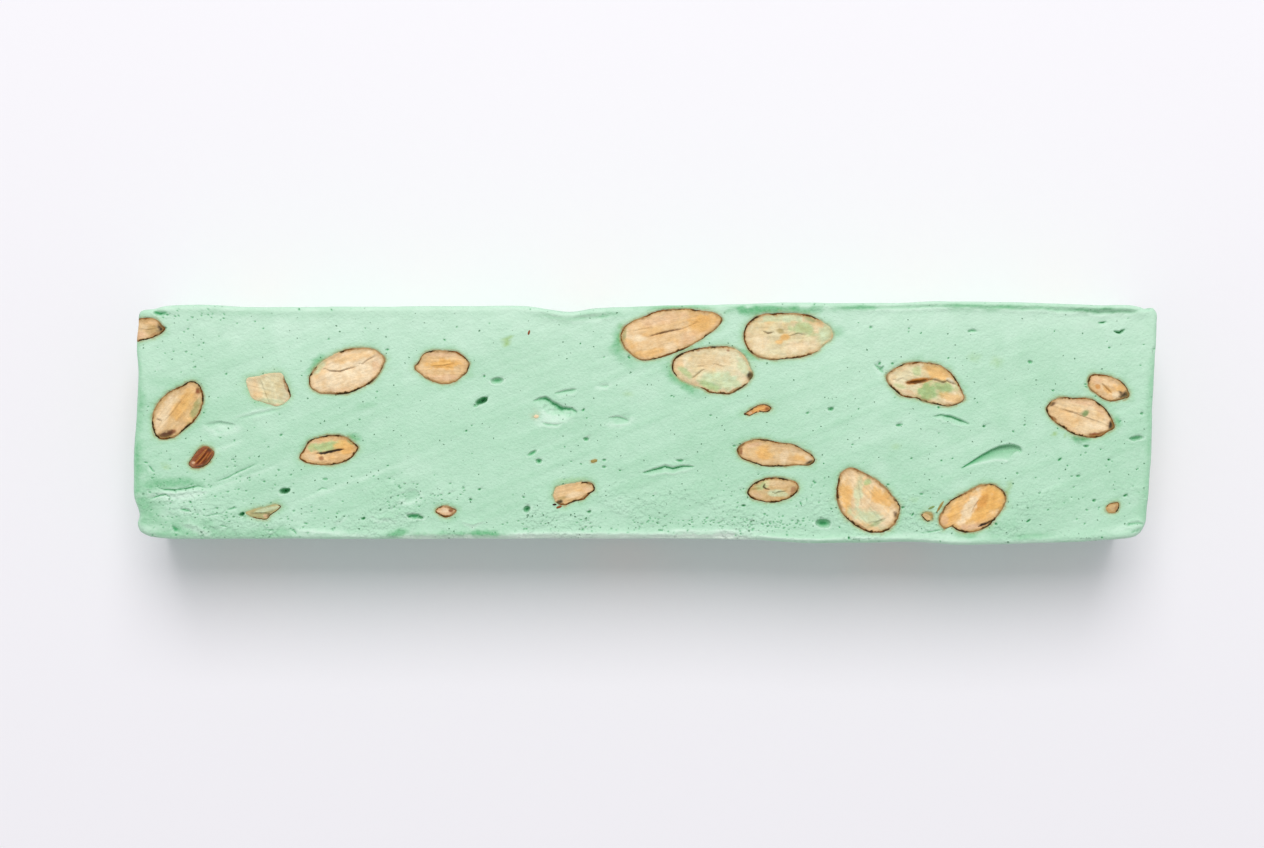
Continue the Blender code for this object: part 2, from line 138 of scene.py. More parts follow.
# Section of the bar from the top inwards edge down to the underside: height, inset from the edge, lip
# lift, and how far the edge's wander has settled to the straight saw cut.
SECTION = (
    (25, 2.3, 0, 0), (25.02, 1.6, 0.1, 0), (25, 0.85, 0.3, 0), (24.92, 0.46, 0.22, 0), (24.72, 0.2, 0.1, 0),
    (24.3, 0.05, 0, 0.05), (23.6, 0, 0, 0.1), (12.5, -0.12, 0, 0.7), (1.2, 0, 0, 1), (0.35, 0.2, 0, 1),
    (0.08, 0.5, 0, 1), (0, 0.9, 0, 1),
)


@dataclass(frozen=True)
class Pit:
    """A bubble or tear: place, length, width, depth, turn in degrees and how dark the painted shade inside
    it is.
    """

    u: float
    v: float
    length: float
    width: float
    depth: float
    turn: float = 0.0
    dark: float = 0.5
    rim: float = 0.05


@dataclass(frozen=True)
class Crease:
    """A line of the surface: its points, width, depth (negative stands up), painted shade and raised lip.

    slope is the width of its gentle side, on the right of its run; the left side is steep. At 0 both
    sides are alike. swell is the share of its run at which it is widest, up to which a wedge opens
    straight from a point. fade is the share of its painted shade lost by its end, most of it early.
    """

    points: Path
    width: float
    depth: float
    dark: float = 0.3
    lip: float = 0.0
    slope: float = 0.0
    swell: float = 0.5
    wedge: bool = False
    fade: float = 0.0

    def taper(self, share: Array) -> Array:
        """How wide and deep the line is along its run: a rounded swell, or a wedge up to it.

        Args:
            share: shares of its length.

        Returns:
            0 to 1 at each.
        """
        out = np.where(share < self.swell, share / self.swell, (1.0 - share) / (1.0 - self.swell))
        swelling = np.sqrt(np.clip(out * (2.0 - out), 0.0, 1.0))
        return np.where(share < self.swell, out, swelling) if self.wedge else swelling


@dataclass(frozen=True)
class Hem:
    """A band along one side of the top face: from and to, inset, half width, tone, strength and rise."""

    face: Face
    low: float
    high: float
    inset: float
    half: float
    tone: Tone
    strength: float
    rise: float = 0.0


@dataclass(frozen=True)
class Patch:
    """A soft patch of colour: tone, place, half length, half width, turn in degrees and strength."""

    tone: Tone
    u: float
    v: float
    length: float
    width: float
    turn: float = 0.0
    strength: float = 1.0


@dataclass(frozen=True)
class CutKernel:
    """A kernel cut by a face: its outline there, depth, flesh tone, and what marks its cut surface.

    bare lists arcs of the outline, in degrees from its centre, that have no skin. halo is how strongly
    the olive round the skin shows, in the flesh inside it and in the nougat beside it.
    """

    name: str
    outline: Path
    depth: float
    tone: Tone = Tone.TAN
    patches: tuple[Patch, ...] = ()
    cracks: tuple[Crease, ...] = ()
    bare: Path = ()
    skin: float = 0.27
    slot: Slot = Slot.FLESH
    halo: float = 1.0


P, K, T = Patch, Crease, Tone

# Kernels cut by the top face, in x and y.
TOP_KERNELS = (
    CutKernel("almond_01",
        ((-97.7, 20.8), (-96.6, 19.8), (-95.9, 18.9), (-96.6, 18.1), (-98, 17.3), (-99.6, 16.7),
         (-101.5, 16.3), (-103.5, 16.6), (-105.2, 17.8), (-105, 19.6), (-103, 20.7), (-100, 21.1)),
        3.6, T.TAN,
        (P(T.OLIVE, -98.2, 18.6, 1.6, 1, 0, 0.45), P(T.WHEAT, -100.4, 19.4, 1.2, 0.8, 0, 0.7),
         P(T.BLUSH, -101, 17.6, 1.2, 0.7, 10, 0.8), P(T.RUST, -98, 17.8, 1, 0.4, 30, 0.5),
         P(T.SAND, -99.6, 18.8, 4, 2.2, 0, 0.12), P(T.UMBER, -96.3, 19, 1.2, 1.3, 0, 1)),
        (K(((-101.6, 18.9), (-99.5, 18.7), (-97.6, 18.9)), 0.25, 0.1, 0.12),)),
    CutKernel("almond_02",
        ((-97.4, -2.9), (-98.4, -1.2), (-98.6, 1), (-98.1, 3), (-96.6, 5.1), (-94.6, 6.7), (-92.6, 7.6),
         (-90.8, 8.5), (-89.4, 8), (-88.5, 6.5), (-88.2, 4.6), (-88.8, 2.5), (-90.2, 0.4), (-92, -1.2),
         (-93.8, -2.7), (-95.4, -3.1)),
        4, T.TAN,
        (P(T.OLIVE, -93.4, 2.4, 7, 4, 60, 0.14), P(T.CREAM, -96.3, 1.5, 4, 1.2, 62, 0.7),
         P(T.AMBER, -92.6, 3.6, 3.4, 1.3, 52, 0.65), P(T.MOSS, -89.8, 3, 2.6, 0.9, 68, 0.6),
         P(T.RUST, -89.3, 6.5, 0.8, 0.6, 40, 0.95), P(T.RUST, -94.6, -1.8, 1.1, 0.5, 30, 0.85),
         P(T.BARK, -95.8, -2.3, 2, 0.8, 14, 0.95)),
        (K(((-97.5, 0.9), (-96.6, 0.5)), 0.35, 0.2, 0.9), K(((-96.2, 0.4), (-94.4, 2.2), (-92.8, 4.4),
         (-91.2, 6.2)), 0.35, 0.12, 0.22),)),
    CutKernel("almond_03",
        ((-67.2, 8.8), (-66.7, 7.1), (-65.2, 6.1), (-62.5, 5.9), (-60, 5.9), (-57.5, 6.7), (-55.2, 7.9),
         (-53.4, 9.6), (-52.3, 11.5), (-51.9, 13), (-53, 14.2), (-54.8, 15.05), (-57, 15.1), (-59.8, 14.8),
         (-62.2, 13.8), (-64.6, 12.3), (-66.4, 10.6)),
        4.2, T.CREAM,
        (P(T.AMBER, -58.5, 13.3, 4.5, 0.9, 14, 0.4), P(T.CREAM, -58, 9, 4.2, 1.6, 18, 0.6),
         P(T.PALE_GREEN, -65.3, 11, 1.8, 0.7, 45, 0.8), P(T.BLUSH, -53.8, 11.6, 1, 1.6, 0, 0.5)),
        (K(((-64.3, 11), (-63, 10.5), (-61, 10.4), (-59.5, 10.9), (-57.6, 11.3)), 0.32, 0.3, 0.55),
         K(((-57.4, 12), (-56.5, 11.9), (-55.3, 12.8), (-53.6, 13.8)), 0.25, 0.2, 0.4)),
        ((115, 168),)),
    CutKernel("almond_04",
        ((-69.1, -7), (-68.3, -5.2), (-67.2, -3.5), (-65.3, -2.7), (-62.5, -2.3), (-60, -2.6),
         (-58.4, -3.6), (-57.3, -4.8), (-58, -6.1), (-59.4, -7.4), (-61.5, -8.1), (-64, -8.35),
         (-66.4, -8.2), (-68.3, -7.6)),
        3, T.TAN,
        (P(T.LEAF, -63.6, -4.4, 3.5, 1, 8, 0.9), P(T.AMBER, -60, -4.7, 2, 1.5, -20, 0.8),
         P(T.CREAM, -66.3, -6.8, 1.8, 0.7, -15, 0.5), P(T.MOSS, -58.8, -3.7, 1, 0.4, -35, 0.7),
         P(T.RUST, -64.7, -6.9, 0.6, 0.5, 0, 0.7)),
        (K(((-65.6, -5.9), (-64.5, -6), (-62.6, -5.6), (-60.2, -5.1)), 0.6, 0.4, 1),)),
    CutKernel("almond_05",
        ((-46.1, 11.3), (-45.2, 12.5), (-44.3, 13.9), (-42.5, 14.6), (-40, 14.65), (-37.6, 14.3),
         (-35.9, 13.2), (-35.05, 11.8), (-35.5, 10.4), (-36.8, 9.2), (-38.6, 8), (-40.6, 7.9), (-42.8, 8.5),
         (-44.8, 9.7)),
        3.2, T.TAN,
        (P(T.AMBER, -40.5, 11.8, 3.4, 1, 4, 0.95), P(T.BLUSH, -40.3, 9.2, 3.6, 0.7, 0, 0.6),
         P(T.BLUSH, -40.5, 13.8, 3.2, 0.5, 0, 0.5)),
        (K(((-43, 11.4), (-40.5, 11.5), (-38, 12)), 0.3, 0.12, 0.25),)),
    CutKernel("almond_06",
        ((-4.9, 17.3), (-4.4, 19.1), (-2.6, 20.4), (-0.2, 21.4), (2.4, 22.5), (5.5, 22.9), (8.5, 23),
         (11.5, 22.55), (14.2, 22), (15.5, 20.9), (14.6, 19.3), (12.6, 17.7), (10.4, 16.2), (8, 14.95),
         (5, 13.7), (2, 12.8), (-0.5, 12.6), (-2.6, 13.6), (-4.2, 15.2)),
        4.6, T.TAN,
        (P(T.AMBER, 11.5, 20, 3.4, 1.8, 20, 0.75), P(T.CREAM, -1.5, 17.1, 2.4, 0.6, -4, 0.8),
         P(T.CREAM, 5.2, 15.3, 1.5, 1.1, 20, 0.7), P(T.AMBER, 1, 14.2, 3.4, 0.8, 10, 0.55),
         P(T.BLUSH, 4, 20.8, 5, 1, 12, 0.5), P(T.BLUSH, 8.6, 17.2, 2.2, 1.2, 30, 0.4),
         P(T.MOSS, -4.2, 17.6, 0.5, 1.8, -15, 0.5)),
        (K(((0.9, 17.4), (3, 18), (5, 18.5), (7.4, 18.9)), 0.42, 0.4, 0.7), K(((-2.6, 18.4), (-0.4, 18.9),
         (1.6, 19.2)), 0.25, 0.12, 0.2), K(((7.4, 18.9), (9.6, 19.8), (11, 20.9)), 0.22, 0.12, 0.25))),
    CutKernel("almond_07",
        ((5.5, 12.2), (5.8, 13), (6.8, 13.8), (8.6, 14.5), (11, 15.1), (14, 15.4), (17, 15.25),
         (18.9, 14.4), (20.2, 13.1), (20.9, 11.5), (21.6, 9.5), (20.8, 8.3), (19.2, 7), (17.1, 5.9),
         (15, 5.95), (13, 6.1), (11, 7.1), (8.5, 8.1), (6.4, 9.3), (5.4, 10.8)),
        4.2, T.CREAM,
        (P(T.PALE_GREEN, 13.5, 10.8, 9, 6, 0, 0.35), P(T.PALE_GREEN, 15.5, 8.4, 5, 1.9, -5, 0.95),
         P(T.PALE_GREEN, 19.6, 11.5, 1, 2.6, 20, 0.7), P(T.TAN, 6.9, 11.6, 1, 2, -10, 0.7),
         P(T.LEAF, 8.2, 10.2, 1.8, 0.7, -35, 0.7), P(T.WHEAT, 13, 12.3, 4, 1.8, 4, 0.6),
         P(T.LEAF, 12.6, 7.6, 2.6, 0.7, -20, 0.8), P(T.RUST, 17.6, 6.5, 1.4, 0.35, 32, 0.6),
         P(T.UMBER, 21.2, 9.3, 1, 1, 0, 1), P(T.RUST, 10.6, 14.6, 0.4, 0.25, 0, 0.7),
         P(T.RUST, 16.6, 14.6, 0.35, 0.25, 0, 0.7)),
        (K(((9.4, 9), (10.2, 9.6), (11.2, 10.5), (12, 10.9)), 0.35, 0.25, 0.4), K(((10.2, 11.4),
         (12, 11.5)), 0.22, 0.1, 0.25), K(((13.3, 11.9), (14.4, 11.8), (16, 11.3)), 0.22, 0.12, 0.3)),
        ((-165, -128), (-20, 40))),
    CutKernel("almond_08",
        ((19.7, 17.3), (20, 19.2), (21.2, 20.7), (23.2, 21.8), (26, 22.05), (29.5, 22.1), (32.8, 21.7),
         (35.4, 20.4), (37.2, 19), (37.6, 17.4), (36, 15.9), (34.4, 14.3), (31.8, 13.4), (28.5, 12.9),
         (25, 12.7), (22.3, 13.4), (20.6, 14.9)),
        4.4, T.WHEAT,
        (P(T.PALE_GREEN, 28.5, 17.4, 10, 6, 0, 0.35), P(T.PALE_GREEN, 27.5, 21, 6, 0.8, 0, 0.8),
         P(T.LEAF, 31.7, 18.9, 2.6, 1.3, -8, 0.7), P(T.PALE_GREEN, 36, 17.8, 1.6, 1.8, 0, 0.9),
         P(T.OLIVE, 27, 18.5, 0.8, 0.6, 0, 0.7), P(T.AMBER, 27.9, 17.2, 1, 0.6, 10, 0.8),
         P(T.AMBER, 26.8, 16.3, 0.8, 0.5, 0, 0.7), P(T.CREAM, 23, 16.2, 1.8, 2.2, 20, 0.6),
         P(T.CREAM, 30.5, 15.4, 3.2, 1.1, 10, 0.7), P(T.MOSS, 33, 20.9, 1.6, 0.5, -25, 0.5)),
        (K(((23.6, 18.4), (24.6, 18), (25.8, 18.3)), 0.32, 0.28, 0.6), K(((28.6, 17.4), (30.6, 18),
         (32.4, 17.6)), 0.26, 0.15, 0.35)),
        ((-25, 22),)),
    CutKernel("almond_09",
        ((18.3, -5.2), (19.6, -3.9), (21.5, -3.2), (24.2, -3.15), (26.8, -3.75), (29.8, -4.2), (31.8, -5.2),
         (33.6, -6.5), (34, -7.4), (33.3, -8.2), (30.5, -8.35), (27, -8.6), (23.8, -8.55), (21.4, -7.8),
         (18.9, -6.6)),
        2.9, T.TAN,
        (P(T.OLIVE, 26.5, -6, 9, 4, 0, 0.12), P(T.AMBER, 23.8, -6.2, 2.2, 1.4, -8, 0.7),
         P(T.CREAM, 27.8, -6.4, 0.9, 1.6, 0, 0.7), P(T.AMBER, 30.6, -6.9, 1.3, 0.8, -12, 0.6),
         P(T.CREAM, 32.8, -7, 0.9, 0.4, -20, 0.7), P(T.UMBER, 33.2, -7.9, 1.3, 0.6, 20, 1),
         P(T.RUST, 19, -5.4, 0.7, 0.9, 0, 0.85), P(T.BLUSH, 21.5, -4.3, 1.8, 0.5, 10, 0.6))),
    CutKernel("almond_10",
        ((20.4, -13.9), (21.2, -12.4), (23.2, -11.2), (25.8, -10.75), (28.3, -11.15), (30.3, -11.75),
         (30.8, -12.8), (30, -14.2), (28.3, -15.2), (25.8, -15.8), (23, -15.5), (21.2, -14.9)),
        2.7, T.TAN,
        (P(T.OLIVE, 25.6, -13.3, 6, 3, 0, 0.32), P(T.LEAF, 23.4, -12.4, 1.6, 0.9, 20, 0.7),
         P(T.PALE_GREEN, 26.6, -14, 2.4, 0.7, -6, 0.8), P(T.WHEAT, 26.5, -12, 2.2, 0.8, 0, 0.6),
         P(T.RUST, 29.8, -13.6, 0.8, 1, -20, 0.65), P(T.BLUSH, 22.3, -14.5, 1.4, 0.7, -20, 0.4),
         P(T.OLIVE, 22.2, -13, 1, 0.3, 10, 0.6)),
        (K(((24, -12), (23.7, -12.7), (24.2, -13.1), (24.9, -13.2)), 0.34, 0.3, 0.75), K(((25.4, -13.8),
         (26, -14), (26.7, -13.7), (28.2, -13.6)), 0.28, 0.2, 0.5))),
    CutKernel("almond_11",
        ((38.2, -14.3), (38.5, -11.8), (39.3, -9.7), (41, -8.75), (43, -9.4), (45.6, -10.8), (47.8, -12.4),
         (49.5, -14.4), (51, -16.6), (50.7, -18.5), (49.9, -20.2), (48.2, -21.5), (46, -21.9), (44, -21.5),
         (41.6, -20.1), (39.9, -18.6), (38.7, -16.6)),
        4.4, T.WHEAT,
        (P(T.AMBER, 40, -14.6, 1.3, 3.6, 6, 0.85), P(T.AMBER, 47, -14.6, 3.4, 1.5, -35, 0.85),
         P(T.PALE_GREEN, 44.6, -18.8, 4, 1.5, -25, 0.85), P(T.PALE_GREEN, 42.7, -13.6, 0.9, 4, -8, 0.7),
         P(T.LEAF, 44.5, -11.7, 0.9, 0.7, 0, 0.8), P(T.CREAM, 48, -19.6, 1.6, 1, 30, 0.7),
         P(T.CREAM, 41.6, -11.2, 0.8, 1.6, 20, 0.6), P(T.MOSS, 46.3, -19.9, 2.2, 0.4, 25, 0.5),
         P(T.BARK, 50.3, -18.2, 0.6, 0.9, 20, 0.9), P(T.BARK, 43.2, -20.8, 2, 0.4, -35, 0.6)),
        (K(((44.6, -19.9), (46.5, -19.6), (48.3, -18.8)), 0.26, 0.15, 0.3), K(((42.6, -11.6), (42.9, -14),
         (43.3, -16.4)), 0.3, 0.1, 0.2)),
        skin=0.33),
    CutKernel("almond_12",
        ((48.15, 9.3), (49.2, 10.6), (51.3, 11.8), (54, 12.3), (57.2, 12.1), (59.4, 11.5), (61.4, 10),
         (62.5, 8.4), (63.4, 6.6), (63.9, 4.9), (62.6, 3.9), (60.8, 3.5), (58, 3.8), (55.8, 4.4), (54, 5),
         (51.4, 5.5), (49.7, 6.8), (48.5, 8)),
        4, T.CREAM,
        (P(T.OLIVE, 56, 8, 9, 5, 0, 0.12), P(T.PALE_GREEN, 56, 8, 9, 5, 0, 0.3),
         P(T.LEAF, 56.5, 6.2, 2.3, 1.7, 10, 0.95), P(T.AMBER, 59, 10, 3.2, 1.6, -22, 0.75),
         P(T.LEAF, 59.8, 7.3, 3.2, 1.1, -10, 0.9), P(T.MOSS, 58.6, 6.6, 3.4, 1.2, 0, 0.3),
         P(T.AMBER, 61.2, 5.2, 2.4, 1, -15, 0.55), P(T.LEAF, 54.2, 10.6, 0.9, 1.1, 0, 0.6),
         P(T.PALE_GREY, 61.2, 8.7, 1.1, 0.5, -10, 0.5), P(T.LEAF, 50.9, 7.5, 1.2, 0.5, -20, 0.5),
         P(T.BLUSH, 52.6, 6.2, 1.6, 0.5, -15, 0.5), P(T.DEEP_AMBER, 54.4, 8.5, 2.6, 0.55, 9, 1),
         P(T.TAN, 61.6, 9.2, 0.7, 1.2, 30, 0.6)),
        (K(((52.1, 8.1), (53.6, 8.2), (55.2, 8.4), (57, 8.8)), 0.75, 0.7, 0.75), K(((57, 8.8), (58.2, 8.7),
         (59.6, 8.2), (60.4, 8.5), (61.2, 8.1), (62.3, 7.8)), 0.42, 0.3, 0.6), K(((49, 9.1), (50.4, 8.6),
         (51.4, 9.1), (52.4, 8.7)), 0.25, 0.12, 0.3))),
    CutKernel("almond_13",
        ((58.7, -19.2), (59.4, -17.5), (61, -15.5), (63, -14.3), (65.2, -13.1), (67, -12.3), (69, -12.1),
         (71, -12.9), (72.2, -14.6), (71.9, -16.3), (70.9, -18), (69.4, -19.9), (67.2, -21.3),
         (64.6, -21.8), (62.5, -21.4), (61.2, -20.6), (60, -21.1), (59, -20.4)),
        4, T.TAN,
        (P(T.AMBER, 65.5, -17, 8, 6, 30, 0.6), P(T.AMBER, 68.4, -15.6, 3.4, 2.6, 35, 1),
         P(T.DEEP_AMBER, 67, -16, 2.2, 0.9, 50, 0.5), P(T.AMBER, 61.4, -17.8, 0.8, 1.8, -30, 0.8),
         P(T.AMBER, 66.6, -18.6, 2.2, 1, 20, 0.8), P(T.CREAM, 64.8, -16.9, 1.05, 4.2, -28, 0.9),
         P(T.BLUSH, 65.2, -20.7, 3.2, 0.9, 10, 0.8), P(T.BLUSH, 59.6, -19.4, 0.9, 1, 0, 0.6),
         P(T.CREAM, 66.4, -12.9, 0.6, 0.5, 0, 0.8)),
        (K(((66.6, -20.6), (67.6, -20.2), (68.6, -19.9), (69.8, -19.3)), 0.7, 0.4, 1), K(((65.2, -18),
         (65.9, -16.6), (66.8, -15.2)), 0.3, 0.2, 0.2))),
    CutKernel("almond_14",
        ((80.15, 2.9), (81, 4.3), (82.8, 5.15), (86, 5.1), (89, 5), (91.1, 3.85), (92.6, 2.3), (93.6, 0.4),
         (93.9, -0.7), (92.4, -1.8), (90.3, -2.85), (88, -2.7), (85.8, -2.1), (83.3, -0.7), (81.2, 0.9)),
        3.8, T.WHEAT,
        (P(T.TAN, 83.4, 1.4, 2.4, 1.4, -35, 0.6), P(T.BLUSH, 88.4, 4.1, 3.4, 0.6, -8, 0.6),
         P(T.CREAM, 90.4, -0.6, 2.6, 0.6, -18, 0.7), P(T.MOSS, 88.1, 2.1, 0.9, 0.6, 20, 0.9),
         P(T.BARK, 81.3, 3.9, 0.8, 0.4, 20, 0.9), P(T.RUST, 81.5, 1, 0.8, 0.4, -25, 0.9),
         P(T.RUST, 89.9, -2.4, 1.7, 0.65, -5, 1), P(T.RUST, 92.2, -1.8, 1.4, 0.5, 15, 0.9),
         P(T.UMBER, 93.5, -0.5, 1, 1.4, 0, 1), P(T.BLUSH, 91, 2.6, 1.4, 0.5, -45, 0.5)),
        (K(((81.4, 3.5), (84.6, 2.5), (88, 1.2), (91, 0.2), (93, -0.6)), 0.28, 0.14, 0.22), K(((82, 2.9),
         (86, 2.2), (88.4, 1.7)), 0.24, 0.08, 0.16))),
    CutKernel("almond_15",
        ((88.5, 8.4), (89.1, 9.6), (91.2, 9.8), (93.6, 9.2), (95.4, 8.3), (96.5, 6.8), (96.75, 5.4),
         (95.4, 4.8), (93.6, 4.35), (91.8, 4.7), (90.2, 5.85), (88.8, 7.1)),
        2.6, T.TAN,
        (P(T.AMBER, 95, 7, 1.2, 0.9, -30, 0.6), P(T.AMBER, 92.6, 6.6, 1.6, 0.5, -45, 0.6),
         P(T.CREAM, 94.1, 5.6, 1.1, 0.8, 0, 0.9), P(T.UMBER, 95.9, 5.6, 1.7, 1.1, 25, 1),
         P(T.DEEP_AMBER, 90.5, 7.3, 0.6, 0.6, 0, 0.8), P(T.BLUSH, 90.4, 8.6, 1.2, 0.7, 10, 0.5)),
        (K(((91.3, 8), (92.4, 6.9), (93.5, 5.9)), 0.32, 0.2, 0.3),)),
    CutKernel("almond_16",
        ((-18.3, -14.3), (-17.9, -13), (-16.3, -12.25), (-14, -11.9), (-11.6, -11.65), (-10.3, -12.2),
         (-10.1, -13.3), (-11.2, -14.3), (-12.1, -15.15), (-14.2, -15.65), (-16.3, -16.4), (-17.6, -15.9)),
        2, T.WHEAT,
        (P(T.AMBER, -14.3, -13.8, 5, 3, 0, 0.28), P(T.TAN, -13.6, -12.8, 2.8, 0.5, 6, 0.7),
         P(T.CREAM, -14, -14.2, 2, 0.5, 12, 0.6), P(T.UMBER, -17.2, -15.8, 0.8, 0.6, 20, 1),
         P(T.BLUSH, -11.6, -13.3, 0.9, 0.5, -20, 0.5), P(T.OLIVE, -16.6, -14.9, 0.9, 0.4, 10, 0.5),
         P(T.BARK, -12.3, -14.8, 1, 0.3, 40, 0.6)),
        bare=((55, 215),), slot=Slot.TOASTED),
    CutKernel("chip_01",
        ((-91.2, -8.2), (-90.5, -8.85), (-88.4, -8.7), (-87.2, -7.8), (-86.1, -5.8), (-88, -4.4),
         (-89.6, -5.5), (-90.6, -6.9)),
        1.4, T.CHESTNUT,
        (P(T.RUST, -88.2, -6.6, 1.8, 0.3, 50, 0.7), P(T.BARK, -87.6, -7.4, 1.6, 0.25, 50, 0.7),
         P(T.DEEP_AMBER, -89.2, -7, 1.9, 0.2, 50, 0.5), P(T.DEEP_AMBER, -88.4, -5.9, 1.8, 0.16, 46, 0.5),
         P(T.DEEP_AMBER, -88.3, -7.1, 1.7, 0.14, 50, 0.5), P(T.DEEP_AMBER, -87.2, -6.5, 1.3, 0.15, 54, 0.4),
         P(T.BARK, -88.9, -6.5, 1.5, 0.12, 48, 0.6), P(T.UMBER, -88.4, -8.5, 1.7, 0.22, 6, 0.8),
         P(T.BLUSH, -90.3, -7.8, 0.4, 0.3, 0, 0.7), P(T.UMBER, -87, -5.2, 0.6, 0.5, 0, 0.6)),
        (K(((-89.6, -8.2), (-88.2, -6.6), (-87.4, -5.4)), 0.3, 0.2, 0.5), K(((-88.6, -8.2), (-87.4, -6.8)),
         0.25, 0.15, 0.4)),
        skin=0.1, slot=Slot.SKIN),
    CutKernel("chip_02",
        ((-79.7, 8.9), (-77.5, 9.5), (-74.6, 10.1), (-72.6, 10), (-71.7, 8.3), (-70.9, 5.2), (-73.5, 3.5),
         (-76, 4.1), (-78.8, 5.3), (-79.4, 7)),
        2.2, T.CREAM,
        (P(T.PALE_GREEN, -75, 7, 6, 5, 0, 0.4), P(T.OLIVE, -75, 7, 6, 5, 0, 0.12),
         P(T.WHEAT, -78, 7.2, 1.2, 2, 10, 0.8), P(T.TAN, -77.4, 5.6, 1.2, 0.8, 0, 0.5),
         P(T.PALE_GREEN, -74.5, 4.4, 3, 0.6, -5, 0.7), P(T.RUST, -71.8, 7.4, 0.3, 1.6, 15, 0.5)),
        (K(((-77.2, 9.3), (-76.2, 6.8), (-75.1, 4)), 0.3, 0.1, 0.2),), bare=((40, 335),), slot=Slot.PALE,
        halo=0.2),
    CutKernel("chip_03",
        ((-79.9, -17.9), (-78.4, -17.2), (-76, -16.7), (-73.6, -16.2), (-72.8, -16.5), (-73.7, -17.5),
         (-74.9, -18.3), (-75.6, -19.1), (-76.8, -19.1), (-78.9, -18.5)),
        1.1, T.OLIVE,
        (P(T.PALE_GREEN, -76.2, -17.6, 4, 2.5, 0, 0.35), P(T.MOSS, -76.2, -17.8, 4, 2.5, 0, 0.35),
         P(T.PALE_GREEN, -75.6, -17.2, 3, 0.45, 12, 0.8), P(T.BLUSH, -75.8, -18.5, 0.6, 0.4, -10, 0.7),
         P(T.BARK, -75.2, -18.4, 0.4, 0.6, -20, 0.6)),
        (K(((-79, -18), (-76.8, -17.9), (-75, -18)), 0.25, 0.12, 0.4),), bare=((30, 200),), skin=0.11,
        slot=Slot.TOASTED, halo=0.6),
    CutKernel("chip_04",
        ((-41.9, -17.6), (-41.2, -16.75), (-39.8, -16.35), (-38.7, -16.75), (-37.7, -17.3), (-38.5, -18.4),
         (-39.7, -18.8), (-41.1, -18.3)),
        1.2, T.BLUSH,
        (P(T.CREAM, -40.1, -17.4, 1.1, 0.5, 0, 0.6), P(T.RUST, -38.8, -17.4, 0.5, 0.4, 0, 0.9)), skin=0.3),
    CutKernel("chip_05",
        ((20.1, 1.9), (21.2, 2.9), (22.4, 3.6), (24.3, 3.75), (25.3, 3.1), (24.7, 2.4), (23.2, 2.3),
         (21.8, 2), (20.9, 1.55)),
        1, T.DEEP_AMBER,
        (P(T.AMBER, 22.8, 2.9, 1.4, 0.35, 15, 0.6), P(T.BLUSH, 21, 2.1, 0.4, 0.3, 20, 0.8),
         P(T.RUST, 24.4, 2.9, 0.5, 0.5, 0, 0.7)),
        bare=((240, 300),), skin=0.2, slot=Slot.TOASTED),
    CutKernel("chip_06",
        ((55.3, -18.3), (56.3, -17.7), (57.4, -18), (57.6, -18.8), (56.7, -19.6), (55.8, -19.1)),
        0.9, T.OLIVE, (P(T.TAN, 56.4, -18.6, 1, 0.5, -30, 0.7),), bare=((-60, 150),), skin=0.16),
    CutKernel("chip_07",
        ((92.1, -16.9), (92.5, -16.2), (93.6, -15.8), (94.7, -15.9), (94.8, -16.9), (94.2, -17.7),
         (92.9, -17.9)),
        1, T.SAND,
        (P(T.WHEAT, 93.4, -16.7, 1, 0.7, 10, 0.5), P(T.OLIVE, 93.5, -16.8, 2, 2, 0, 0.2),
         P(T.RUST, 94.2, -17, 0.4, 0.6, 0, 0.4)),
        skin=0.14, bare=((180, 300),)),
)

# Kernels cut by the other faces: along the face, up (or across) it, length, width, turn (degrees), depth.
OTHER_KERNELS: dict[Face, tuple[tuple[float, ...], ...]] = {
    Face.FRONT: ((-83, 12.5, 15, 9, 20, 3.6), (-39, 14, 12.5, 8, -38, 3.2), (-3, 9.5, 18, 10, 9, 4.2),
      (26, 15, 10.5, 6.5, 155, 2.8), (53, 8.2, 15.5, 8.6, -14, 3.6), (86, 13, 12, 7.4, 32, 3),),
    Face.BACK: ((-88, 10.5, 14, 8.6, -24, 3.4), (-57, 13.5, 17, 9, 12, 3.8), (-24, 9, 11.5, 7.4, 140, 3),
      (11, 10.5, 16, 9, -10, 3.8), (47, 14, 14.5, 8.2, 24, 3.4), (80, 9.5, 13, 8, 170, 3.2),),
    Face.LEFT: ((-4, 11.5, 15, 8.8, 16, 3.6),),
    Face.RIGHT: ((-10, 10, 14, 8.4, -18, 3.4), (11.5, 15, 11, 6.8, 35, 2.8)),
    Face.BASE: ((-77, 8, 17, 9.6, 26, 4), (-47, -10.5, 15, 9, -32, 3.6), (-16, 9.5, 12.5, 7.8, 14, 3),
      (21, -8.5, 17.5, 9.8, 165, 4), (53, 9.5, 14, 8.6, -20, 3.4), (83, -7.5, 15.5, 8.8, 38, 3.6),),
}
